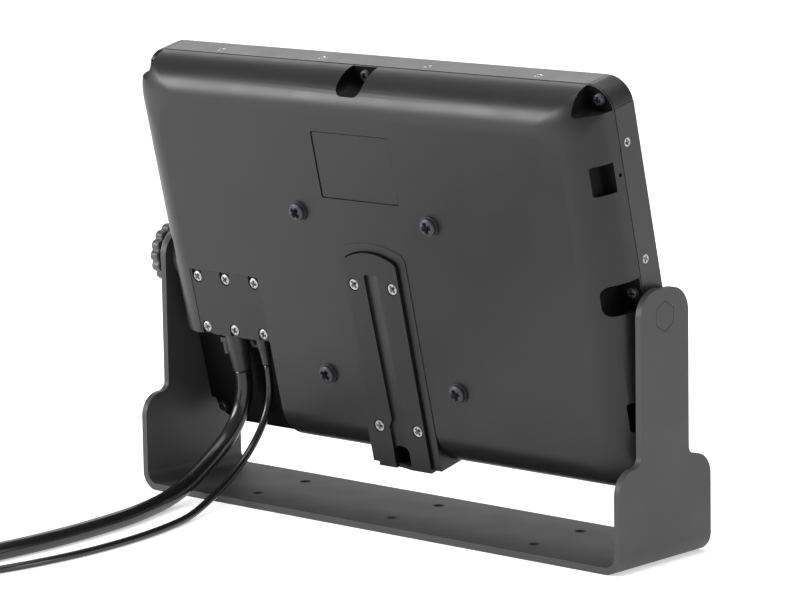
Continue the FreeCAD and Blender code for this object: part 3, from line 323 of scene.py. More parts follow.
def skin(shape: bmesh.types.BMesh, rings: Sequence[Sequence[Point]], closed: bool = False) -> None:
    """Skins rings of equal count, and joins the last to the first instead of capping both if closed."""
    rows = [[shape.verts.new(point) for point in ring] for ring in rings]
    count = len(rows[0])
    for lower, upper in zip(rows, rows[1:] + (rows[:1] if closed else [])):
        for index in range(count):
            following = (index + 1) % count
            shape.faces.new((lower[index], lower[following], upper[following], upper[index]))
    if not closed:
        shape.faces.new(list(reversed(rows[0])))
        shape.faces.new(rows[-1])


def rings_solid(name: str, rings: Sequence[Sequence[Point]], closed: bool = False) -> Piece:
    """A solid skinned over rings of equal count, each a list of points."""
    shape = bmesh.new()
    skin(shape, rings, closed)
    return new_object(name, mesh_from(shape, name))


def prism(name: str, outline: Outline, start: float, end: float) -> Piece:
    """An outline of (x, z) points pushed along y from start to end."""
    return rings_solid(name, [[(x, start, z) for x, z in outline], [(x, end, z) for x, z in outline]])


def arc(centre: Flat, radius: float, first: float, last: float, steps: int) -> Outline:
    """Points of an arc, with its angles in degrees."""
    return [(centre[0] + radius * math.cos(math.radians(first + (last - first) * step / steps)),
             centre[1] + radius * math.sin(math.radians(first + (last - first) * step / steps)))
            for step in range(steps + 1)]


def rounded_rectangle(low: Flat, high: Flat, radii: Sequence[float], steps: int = 8) -> Outline:
    """A rectangle with its own radius at each corner, anticlockwise from the lower left.

    Args:
        low: the lower left corner.
        high: the upper right corner.
        radii: the radii of the lower left, lower right, upper right and upper left corners.
        steps: the segments of each arc.

    Returns:
        The outline.
    """
    corners = [(low[0], low[1], 180.0), (high[0], low[1], 270.0), (high[0], high[1], 0.0),
               (low[0], high[1], 90.0)]
    inward = [(1, 1), (-1, 1), (-1, -1), (1, -1)]
    points: Outline = []
    for (x, z, start), (way_x, way_z), radius in zip(corners, inward, radii):
        if radius <= 0:
            points.append((x, z))
            continue
        points += arc((x + way_x * radius, z + way_z * radius), radius, start, start + 90.0, steps)
    return points


def lathe(name: str, profile: Outline, sides: int = 48,
          radius_change: Optional[Callable[[float, float], float]] = None) -> Piece:
    """A solid turned about Z from (radius, height) stations; its two ends are capped.

    Args:
        name: the object's name.
        profile: the stations from bottom to top.
        sides: the points round each ring.
        radius_change: gives what is added to the radius at (angle, height).

    Returns:
        The new object.
    """
    rings = []
    for radius, height in profile:
        ring = []
        for side in range(sides):
            angle = 2 * math.pi * side / sides
            reach = radius + (radius_change(angle, height) if radius_change else 0.0)
            ring.append((reach * math.cos(angle), reach * math.sin(angle), height))
        rings.append(ring)
    return rings_solid(name, rings)


def moved(piece: Piece, matrix: Matrix) -> Piece:
    """Moves the piece's mesh and leaves its object at the origin."""
    piece.data.transform(matrix)
    return piece


def turned_to(place: Point, degrees: float, axis: str) -> Matrix:
    """A turn about the origin, then a move to the place."""
    return Matrix.Translation(place) @ Matrix.Rotation(math.radians(degrees), 4, axis)


def discard(piece: Piece) -> None:
    """Removes an object and its mesh."""
    mesh = piece.data
    bpy.data.objects.remove(piece)
    bpy.data.meshes.remove(mesh)


def settled(piece: Piece) -> Piece:
    """Applies the piece's modifiers."""
    bpy.context.view_layer.update()
    evaluated = piece.evaluated_get(bpy.context.evaluated_depsgraph_get())
    mesh = bpy.data.meshes.new_from_object(evaluated)
    piece.modifiers.clear()
    old = piece.data
    piece.data = mesh
    bpy.data.meshes.remove(old)
    return piece


def carve(piece: Piece, operation: str, tools: Iterable[Piece],
          inner: bool = False) -> Piece:
    """Adds or takes away the tools, one after another, and removes them.

    Args:
        piece: the object that changes.
        operation: UNION, DIFFERENCE or INTERSECT.
        tools: the tools, used up in order.
        inner: True gives the cut faces the piece's second finish; on the rear cover that is a near-black
            that paints the shade inside its pockets, bay and holes.

    Returns:
        The piece.
    """
    for tool in tools:
        if inner:
            tool.data.materials.append(None)
            tool.data.materials.append(piece.data.materials[1])
            for face in tool.data.polygons:
                face.material_index = 1
        change = piece.modifiers.new("carve", "BOOLEAN")
        change.operation = operation
        change.solver = "EXACT"
        change.object = tool
        settled(piece)
        discard(tool)
    return piece


def cleaned(piece: Piece, gap: float, flatness: Optional[float] = None) -> None:
    """Joins points nearer than the gap, then merges faces flat to the angle or drops empty ones."""
    shape = bmesh.new()
    shape.from_mesh(piece.data)
    bmesh.ops.remove_doubles(shape, verts=shape.verts, dist=gap)
    if flatness is None:
        bmesh.ops.dissolve_degenerate(shape, dist=gap, edges=shape.edges)
    else:
        bmesh.ops.dissolve_limit(shape, angle_limit=math.radians(flatness), verts=shape.verts,
                                 edges=shape.edges)
    shape.to_mesh(piece.data)
    shape.free()


def soften(piece: Piece, width: float, segments: int = 2, angle: float = 35.0) -> Piece:
    """Rounds every edge sharper than the angle, then shades the piece smooth."""
    cleaned(piece, 2e-6)
    bevel = piece.modifiers.new("round", "BEVEL")
    bevel.width = width
    bevel.segments = segments
    bevel.limit_method = "ANGLE"
    bevel.angle_limit = math.radians(angle)
    bevel.miter_outer = "MITER_ARC"
    bevel.harden_normals = True
    bevel.material = 0
    settled(piece)
    return shaded(piece)


def shaded(piece: Piece, angle: float = 40.0) -> Piece:
    """Shades the piece smooth and keeps the edges that are sharper than the angle."""
    piece.data.shade_smooth()
    piece.data.set_sharp_from_angle(angle=math.radians(angle))
    weighted = piece.modifiers.new("even", "WEIGHTED_NORMAL")
    weighted.keep_sharp = True
    weighted.weight = 80
    return settled(piece)


def softened_node(node: str, name: str, width: float, segments: int = 2) -> Piece:
    """A copy of a CAD node with its flat faces merged and its edges rounded."""
    copy = new_object(name, frame["nodes"][node].data.copy())
    copy.data.materials.clear()
    cleaned(copy, 1e-6, 0.3)
    return soften(copy, width, segments)


def dress(piece: Piece, finish: Surface, slot: Slot, body: str,
          *nodes: str) -> Piece:
    """Gives a finished piece its material and its body, and hides the CAD nodes that it stands for."""
    if len(piece.data.materials) < 2:
        piece.data.materials.clear()
        piece.data.materials.append(finish.material())
    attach(piece, body)
    if nodes:
        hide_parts(*nodes)
    LOG.info("%s: %d faces on %s", piece.name, len(piece.data.polygons), body)
    return piece


def repaint(node: str, finish: Surface) -> None:
    """Gives a CAD node that stays as it is a better material."""
    mesh = frame["nodes"][node].data
    if not mesh.materials:
        mesh.materials.append(finish.material())
    for index in range(len(mesh.materials)):
        mesh.materials[index] = finish.material()


# ---- the camera, the floor and the lights ----


@dataclass(frozen=True)
class Lamp:
    """A rectangular soft light that faces its aim."""

    name: str
    place: Point
    aim: Point
    size: Flat
    power: float

    def build(self) -> None:
        """Links the light."""
        light = bpy.data.lights.new(self.name, "AREA")
        light.shape = "RECTANGLE"
        light.size, light.size_y = self.size
        light.energy = self.power
        lamp = new_object(self.name, light)
        lamp.location = self.place
        lamp.rotation_euler = (Vector(self.aim) - Vector(self.place)).to_track_quat("-Z", "Y").to_euler()


@dataclass
class Studio:
    """A pale floor, soft lights and the camera behind and above the display."""

    aim: Point = (0.00723, 0.0, 0.09495)
    distance: float = 1.6975
    azimuth: float = 222.26
    elevation: float = 9.665
    roll: float = -0.949
    lens: float = 177.88
    clip: Flat = (0.05, 50.0)
    floor_size: float = 12.0
    floor_glow: float = 0.5
    surround: float = 0.32
    lamps: Tuple[Lamp, ...] = (
        Lamp("roof_light", (0.0, 0.0, 2.6), (0.0, 0.0, 0.0), (2.6, 2.6), 62.0),
        Lamp("roll_light", (1.66, 1.81, 0.92), (0.0, 0.03, 0.18), (1.6, 0.75), 52.0),
        Lamp("top_light", (1.72, -1.51, 1.42), (0.0, 0.0, 0.15), (1.4, 1.0), 7.0),
        Lamp("side_light", (-2.3, -0.9, 0.5), (0.0, 0.0, 0.1), (0.5, 1.0), 9.0),
    )

    def build(self) -> None:
        """Makes the camera, the floor, the world's light and the lamps."""
        self._camera()
        self._floor()
        self._world()
        for lamp in self.lamps:
            lamp.build()
        bpy.context.scene.view_settings.view_transform = "Standard"

    def _camera(self) -> None:
        """Looks at the aim from the given side and height, turned a little about its own axis."""
        lens = bpy.data.cameras.new("camera")
        lens.lens = self.lens
        lens.clip_start, lens.clip_end = self.clip
        camera = new_object("camera", lens)
        camera.matrix_world = (
            turned_to(self.aim, self.azimuth, "Z") @ turned_to((0.0, 0.0, 0.0), 90.0 - self.elevation, "X")
            @ turned_to((0.0, 0.0, self.distance), self.roll, "Z"))
        bpy.context.scene.camera = camera

    def _floor(self) -> None:
        """A pale matt floor, which isn't part of the object."""
        shape = bmesh.new()
        bmesh.ops.create_grid(shape, x_segments=1, y_segments=1, size=self.floor_size / 2)
        floor = new_object("floor", mesh_from(shape, "floor"))
        paint = bpy.data.materials.new("floor_paint")
        paint.use_nodes = True
        set_inputs(paint.node_tree, paint.node_tree.nodes["Principled BSDF"], {
            "Base Color": (0.9, 0.9, 0.9, 1.0), "Roughness": 0.9, "Specular IOR Level": 0.1,
            "Emission Color": (1.0, 1.0, 1.0, 1.0), "Emission Strength": self.floor_glow})
        floor.data.materials.append(paint)

    def _world(self) -> None:
        """An even pale surround."""
        world = bpy.data.worlds.new("surround")
        world.use_nodes = True
        set_inputs(world.node_tree, world.node_tree.nodes["Background"],
                   {"Color": (1.0, 1.0, 1.0, 1.0), "Strength": self.surround})
        bpy.context.scene.world = world


# ---- the cords ----


@dataclass
class Coil:
    """The rest of a cord wound up beside the object: turns beside and on each other.

    In the last part of each turn, its crossing, the cord moves over to the next turn's place.
    """

    centre: Flat
    radii: Tuple[float, ...]
    start: float
    clockwise: bool
    turns: int
    tail_turn: float
    steps: int = 24
    crossing: float = 0.18

    def points(self, gauge: float, tail: Sequence[Point]) -> List[Point]:
        """The turns' points, then the tail that climbs to the plug.

        Args:
            gauge: the cord's diameter.
            tail: the last points, which run into the plug.

        Returns:
            The points in order.
        """
        lanes = []
        count = len(self.radii)
        for turn in range(self.turns + 1):
            layer, place = divmod(turn, count)
            lane = place if layer % 2 == 0 else count - 1 - place
            lanes.append((self.radii[lane], gauge * (layer + 0.5)))
        way = -1.0 if self.clockwise else 1.0
        made: List[Point] = []
        total = int(round((self.turns + self.tail_turn) * self.steps))
        for step in range(1, total + 1):
            along = step / self.steps
            turn = min(int(along), self.turns)
            share = max(0.0, 1.0 - (turn + 1 - along) / self.crossing) if turn < self.turns else 0.0
            share = share * share * (3 - 2 * share)
            here = Vector(lanes[turn])
            radius, height = here.lerp(Vector(lanes[min(turn + 1, self.turns)]), share)
            angle = self.start + way * 2 * math.pi * along
            made.append((self.centre[0] + radius * math.cos(angle),
                         self.centre[1] + radius * math.sin(angle), height))
        return made + list(tail)


@dataclass
class Cord:
    """A free cord: its route from the plug to the coil, and the coil."""

    name: str
    gauge: float
    length: float
    route: Sequence[Point]
    coil: Coil
    tail: Sequence[Point]
    nodes: Tuple[str, ...]
    with_pieces: Tuple[str, ...]
    blend_end: Point
    sides: int = 20

    def centreline(self) -> List[Vector]:
        """The points of one smooth curve along the route, the turns and the tail."""
        points = list(self.route) + self.coil.points(self.gauge, self.tail)
        curve = bpy.data.curves.new(self.name + "_line", "CURVE")
        curve.dimensions = "3D"
        curve.resolution_u = 5
        spline = curve.splines.new("NURBS")
        spline.points.add(len(points) - 1)
        for knot, point in zip(spline.points, points):
            knot.co = (*point, 1.0)
        spline.order_u = 3
        spline.use_endpoint_u = True
        holder = new_object(self.name + "_line", curve)
        bpy.context.view_layer.update()
        evaluated = holder.evaluated_get(bpy.context.evaluated_depsgraph_get())
        line = bpy.data.meshes.new_from_object(evaluated)
        found = [vertex.co.copy() for vertex in line.vertices]
        bpy.data.objects.remove(holder)
        bpy.data.meshes.remove(line)
        return found

    def build(self) -> Piece:
        line = self.centreline()
        radius = self.gauge / 2
        across = Vector((1.0, 0.0, 0.0))
        circle = arc((0.0, 0.0), radius, 0.0, 360.0, self.sides)[:-1]
        rings = []
        for index, point in enumerate(line):
            before = line[max(index - 1, 0)]
            after = line[min(index + 1, len(line) - 1)]
            way = (after - before).normalized()
            across = (across - way * across.dot(way)).normalized()
            upward = way.cross(across)
            rings.append([tuple(point + across * out + upward * rise) for out, rise in circle])
        cord = rings_solid(self.name, rings)
        cord.data.shade_smooth()
        cord.data.materials.append(CORD_JACKET.material())
        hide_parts(*self.nodes)
        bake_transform(cord)
        measured = sum((b - a).length for a, b in zip(line, line[1:]))
        LOG.info("%s is %.3f m long", self.name, measured)
        return cord


def in_metres(*points: Point) -> Tuple[Point, ...]:
    """Points given in millimetres, as the CAD model has them, in metres."""
    return tuple((x * MM, y * MM, z * MM) for x, y, z in points)


VIDEO_ROUTE = in_metres(
    (99.8, 3.22, 54.94), (99.8, 2.36, 51.2), (100.3, 1.72, 43.8), (101.4, 3.0, 36.4), (102.3, 6.3, 29.4),
    (103.0, 11.4, 23.3), (103.6, 18.0, 18.1), (103.3, 27.4, 12.3), (101.8, 39.4, 6.75), (98.6, 53.8, 4.0),
    (93.6, 68.6, 3.8), (89.0, 84.4, 3.8), (86.2, 101.0, 3.8), (84.2, 119.0, 3.8), (83.2, 138.0, 3.8),
    (83.7, 158.0, 3.8), (85.4, 178.0, 3.8), (87.4, 198.0, 3.8), (88.2, 216.0, 3.8),
)
POWER_ROUTE = in_metres(
    (83.5, 4.19, 58.9), (83.5, 3.06, 54.06), (83.7, 2.6, 44.1), (84.1, 5.8, 34.1), (84.5, 12.0, 24.8),
    (84.3, 21.2, 16.6), (82.6, 33.4, 9.6), (79.0, 48.4, 4.6), (73.8, 64.2, 1.75), (68.4, 81.0, 1.65),
    (64.2, 100.0, 1.65), (61.8, 121.0, 1.65), (61.4, 143.0, 1.65), (63.6, 166.0, 1.65),
    (68.4, 188.0, 1.65), (75.0, 209.0, 1.65), (80.0, 228.0, 1.65), (82.5, 246.0, 1.65),
)
VIDEO_TAIL = in_metres((96.0, 249.0, 26.2), (102.0, 256.0, 27.9), (109.0, 260.0, 28.3), (114.0, 260.0, 28.3))
POWER_TAIL = in_metres((83.0, 254.0, 13.8), (80.8, 260.0, 16.0), (76.5, 265.5, 17.2), (71.0, 266.0, 17.2))


def build_cords() -> None:
    """The video cord and the power cord, each with its coil."""
    Cord("video_cord", 0.0076, 1.6, VIDEO_ROUTE,
         Coil((0.1340, 0.2180), (0.0458, 0.0382), start=math.pi, clockwise=True, turns=5, tail_turn=0.08),
         VIDEO_TAIL, ("video_cable", "video_cable_coil"), ("video_far_plug",), (0.102, 0.060, 0.004)).build()
    Cord("power_cord", 0.0033, 1.6, POWER_ROUTE,
         Coil((0.0602, 0.2470), (0.0223, 0.0190, 0.0157), start=0.0, clockwise=False, turns=11,
              tail_turn=0.02),
         POWER_TAIL, ("power_cable", "power_cable_coil"), ("power_far_plug",), (0.079, 0.056, 0.002)).build()


# ---- screws, set out by Geometry Nodes ----


class Turn(Enum):
    """Which way a screw's head faces on the upright housing."""

    BACK = (0.0, 1.0, 0.0)
    UP = (0.0, 0.0, 1.0)
    DOWN = (0.0, 0.0, -1.0)
    LEFT = (1.0, 0.0, 0.0)
    RIGHT = (-1.0, 0.0, 0.0)


@dataclass
class ScrewHead:
    """The look of one screw: a turned head with a cross recess, on a short shank."""

    radius: float
    height: float
    shank: float
    shank_length: float
    dished: bool = False
    recess: float = 0.74

    def build(self) -> Piece:
        """Makes the screw along +Z, with its seat at z = 0."""
        top = self.height
        edge = min(self.radius * 0.16, top * 0.4)
        profile = [(0.0002, -self.shank_length), (self.shank * 0.8, -self.shank_length),
                   (self.shank, -self.shank_length + self.shank * 0.3), (self.shank, 0.0)]
        if self.dished:
            profile += [(self.radius * 0.97, top - edge), (self.radius, top - edge * 0.5),
                        (self.radius * 0.97, top), (self.radius * 0.85, top), (0.0002, top)]
        else:
            profile += [(self.radius * 0.97, 0.0), (self.radius, edge * 0.4), (self.radius, top * 0.45)]
            profile += [(self.radius * math.cos(math.radians(angle)) ** 0.7,
                         top * (0.45 + 0.55 * math.sin(math.radians(angle)))) for angle in (20, 40, 60, 78)]
            profile.append((0.0002, top))
        head = lathe("screw_head", profile, 40)
        carve(head, "DIFFERENCE", [self._slot(self.recess, 0.26), self._slot(0.26, self.recess)])
        return shaded(head, 30.0)

    def _slot(self, across: float, along: float) -> Piece:
        """One arm of the cross recess, narrower at its foot, in shares of the head's radius."""
        half_x = self.radius * across / 2
        half_y = self.radius * along / 2
        rings = []
        for spread, z in ((1.0, self.height - self.radius * 0.7), (2.1, self.height + 0.0001)):
            x, y = half_x * spread, half_y * spread
            rings.append([(-x, -y, z), (x, -y, z), (x, y, z), (-x, y, z)])
        return rings_solid("cross", rings)


@dataclass
class ScrewPattern:
    """Screws of one kind, one at each place, each turned by chance about its own axis."""

    name: str
    head: ScrewHead
    places: Sequence[Point]
    finish: Finish
    slot: Slot
    node: str
    seed: int
    facing: Sequence[Turn] = ()

    def _tree(self) -> bpy.types.GeometryNodeTree:
        """Geometry Nodes: the head on every point, along its facing, with a chance turn."""
        tree = bpy.data.node_groups.new(self.name + "_pattern", "GeometryNodeTree")
        for name, kind in (("Geometry", "Geometry"), ("Head", "Object"), ("Seed", "Int"),
                           ("Finish", "Material")):
            tree.interface.new_socket(name, in_out="INPUT", socket_type="NodeSocket" + kind)
        tree.interface.new_socket("Geometry", in_out="OUTPUT", socket_type="NodeSocketGeometry")
        given = add_node(tree, "NodeGroupInput").outputs
        head = add_node(tree, "GeometryNodeObjectInfo", {"Object": given["Head"]})
        facing = add_node(tree, "GeometryNodeInputNamedAttribute", {"Name": "facing"},
                          data_type="FLOAT_VECTOR")
        align = add_node(tree, "FunctionNodeAlignRotationToVector", {"Vector": facing.outputs[0]}, axis="Z")
        put = add_node(tree, "GeometryNodeInstanceOnPoints", {
            "Points": given["Geometry"], "Instance": head.outputs["Geometry"],
            "Rotation": align.outputs["Rotation"]})
        chance = add_node(tree, "FunctionNodeRandomValue", {
            0: (0.0, 0.0, 0.0), 1: (0.0, 0.0, 2 * math.pi), "Seed": given["Seed"]}, data_type="FLOAT_VECTOR")
        spin = add_node(tree, "GeometryNodeRotateInstances", {
            "Instances": put.outputs["Instances"], "Rotation": chance.outputs[0], "Local Space": True})
        real = add_node(tree, "GeometryNodeRealizeInstances", {"Geometry": spin.outputs["Instances"]})
        paint = add_node(tree, "GeometryNodeSetMaterial",
                         {"Geometry": real.outputs["Geometry"], "Material": given["Finish"]})
        add_node(tree, "NodeGroupOutput", {"Geometry": paint.outputs["Geometry"]})
        return tree

    def build(self) -> Piece:
        """Sets out the screws and makes one real mesh of them."""
        head = self.head.build()
        points = bpy.data.meshes.new(self.name)
        points.from_pydata(list(self.places), [], [])
        facing = points.attributes.new("facing", "FLOAT_VECTOR", "POINT")
        for entry, turn in zip(facing.data, self.facing or [Turn.BACK] * len(self.places)):
            entry.vector = turn.value
        piece = new_object(self.name, points)
        tree = self._tree()
        change = piece.modifiers.new("pattern", "NODES")
        change.node_group = tree
        values = {"Head": head, "Seed": self.seed, "Finish": self.finish.material()}
        for socket in tree.interface.items_tree:
            if socket.in_out == "INPUT" and socket.name in values:
                change[socket.identifier] = values[socket.name]
        settled(piece)
        discard(head)
        return dress(moved(piece, HOUSING), self.finish, self.slot, "display", self.node)


def grid(columns: Sequence[float], depth: float, rows: Sequence[float]) -> List[Point]:
    """Places at every column and row, at one depth."""
    return [(x, depth, z) for x in columns for z in rows]


SEAT = 0.0055          # the depth of the cover screws' seats in their pockets
COVER_PLACES = (grid((-0.1258, 0.1258), SEAT, (0.0938, -0.0708)) + grid((-0.1275, 0.1275), SEAT, (0.0115,))
                + grid((0.0,), SEAT, (0.0955, -0.0725)))
HATCH_PLACES = grid((0.074, 0.0915, 0.1085), 0.02108, (0.0002, -0.0238))
STAND_PLACES = grid((-0.011, 0.011), 0.0226, (0.0072, -0.058))
MOUNT_PLACES = grid((-0.0375, 0.0375), 0.02292, (-0.0375, 0.0375))
RAIL_DEPTH = -0.00085
RAIL_PLACES = grid((-0.09, -0.03, 0.03, 0.09), RAIL_DEPTH, (0.0982, -0.0752))
END_PLACES = [(x, RAIL_DEPTH, z) for z in (0.074, 0.024, -0.051) for x in (0.1302, -0.1302)]


def build_screws() -> None:
    """All the screws that show on the outside, and the O-rings under those of the cover."""
    patterns = (
        ScrewPattern("cover_screw_heads", ScrewHead(0.0024, 0.0016, 0.00125, 0.006), COVER_PLACES,
                     BLACK_SCREW, Slot.BLACK_SCREW, "cover_screws", 3),
        Seals(),
        ScrewPattern("hatch_screw_heads", ScrewHead(0.0024, 0.00115, 0.001, 0.0038), HATCH_PLACES,
                     STEEL_SCREW, Slot.STEEL_SCREW, "connector_cover_screws", 7),
        ScrewPattern("stand_screw_heads", ScrewHead(0.00245, 0.00125, 0.0012, 0.002, dished=True),
                     STAND_PLACES, STEEL_SCREW, Slot.STEEL_SCREW, "stand_rail_screws", 11),
        ScrewPattern("mount_screw_heads", ScrewHead(0.004, 0.00225, 0.0019, 0.006, recess=0.66),
                     MOUNT_PLACES, BLACK_SCREW, Slot.BLACK_SCREW, "vesa_screws", 5),
        ScrewPattern("rail_screw_heads", ScrewHead(0.0019, 0.0012, 0.0009, 0.0015, dished=True),
                     RAIL_PLACES + END_PLACES, STEEL_SCREW, Slot.STEEL_SCREW, "rail_screws", 9,
                     [Turn.UP, Turn.DOWN] * 4 + [Turn.LEFT, Turn.RIGHT] * 3),
    )
    for pattern in patterns:
        pattern.build()


@dataclass
class Seals:
    """The O-rings under the cover screws, pressed a little flat."""

    middle: float = 0.00195
    gauge: float = 0.0012
    squash: float = 0.58
    sink: float = 0.0007

    def build(self) -> Piece:
        """Makes one ring at each cover screw."""
        half = self.gauge / 2
        section = arc((self.middle, half), half, 180.0, 540.0, 12)[:-1]
        circle = arc((0.0, 0.0), 1.0, 0.0, 360.0, 36)[:-1]
        shape = bmesh.new()
        for x, y, z in COVER_PLACES:
            rings = [[(x + radius * across, y - self.sink + height * self.squash, z + radius * rise)
                      for radius, height in section] for across, rise in circle]
            skin(shape, rings, closed=True)
        piece = new_object("cover_screw_seals", mesh_from(shape, "cover_screw_seals"))
        piece.data.shade_smooth()
        return dress(moved(piece, HOUSING), RUBBER, Slot.RUBBER, "display", "cover_screw_orings")


# ---- the housing ----


BEYOND = 0.03          # a depth well behind the housing's rear face
PAST_SIDE = 0.15       # a width, a height and a low well outside the housing
PAST_TOP = 0.12
PAST_BOTTOM = -0.1
FOOT_WINDOW = rounded_rectangle((-0.004, -0.0752), (0.0052, -0.0666), [0.0006, 0.0006, 0.0025, 0.0025], 5)


@dataclass(frozen=True)
class Pocket:
    """A pocket sunk into the rolled edge: its corners, its corners' radii and the depth of its floor."""

    low: Flat
    high: Flat
    radii: Tuple[float, ...]
    floor: float = 0.0048
    round_grows: bool = False

    def tool(self, grow: float, start: float, side: int = 1) -> Piece:
        """The pocket grown all round, from a depth to beyond the rear; side -1 mirrors it."""
        extra = grow if self.round_grows else 0.0
        outline = rounded_rectangle((self.low[0] - grow, self.low[1] - grow),
                                    (self.high[0] + grow, self.high[1] + grow),
                                    [radius + extra if radius else 0.0 for radius in self.radii])
        if side < 0:
            outline = [(-x, z) for x, z in reversed(outline)]
        return prism("pocket", outline, start, BEYOND)


SIDE_POCKETS = (
    Pocket((0.120, 0.0894), (PAST_SIDE, PAST_TOP), (0.002, 0, 0, 0)),
    Pocket((0.120, PAST_BOTTOM), (PAST_SIDE, -0.0664), (0, 0, 0, 0.002)),
    Pocket((0.122, 0.005), (PAST_SIDE, 0.018), (0.004, 0, 0, 0.004), round_grows=True),
    Pocket((0.125, 0.0562), (PAST_SIDE, 0.0688), (0.001, 0, 0, 0.001), 0.0088),
    Pocket((0.125, -0.0458), (PAST_SIDE, -0.0332), (0.001, 0, 0, 0.001), 0.0088),
)
TOP_POCKET = Pocket((-0.0072, 0.0906), (0.0072, PAST_TOP), (0.004, 0.004, 0, 0), round_grows=True)
POCKETS = [(pocket, side) for side in (-1, 1) for pocket in SIDE_POCKETS] + [(TOP_POCKET, 1)]
BAY = Pocket((0.0705, PAST_BOTTOM), (PAST_SIDE, -0.027), (0, 0, 0, 0.002), 0.007)


def arched(half: float, crown: float, foot: float, shoulder: float, rise: float = 0.0042) -> Outline:
    """A plate outline with a low arched top.

    Args:
        half: half the width.
        crown: the height of the arch's top.
        foot: the height of the straight lower edge.
        shoulder: the radius between the arch and each side.
        rise: how far a full arch would rise over the half width.

    Returns:
        The outline.
    """
    radius = (half * half + rise * rise) / (2 * rise)
    middle = crown - radius
    side = half - shoulder
    height = middle + math.sqrt((radius - shoulder) ** 2 - side * side)
    lean = math.degrees(math.atan2(height - middle, side))
    outline = [(-half, foot), (half, foot)]
    outline += arc((side, height), shoulder, 0.0, lean, 8)
    outline += arc((0.0, middle), radius, lean, 180.0 - lean, 20)[1:-1]
    outline += arc((-side, height), shoulder, 180.0 - lean, 180.0, 8)
    return outline


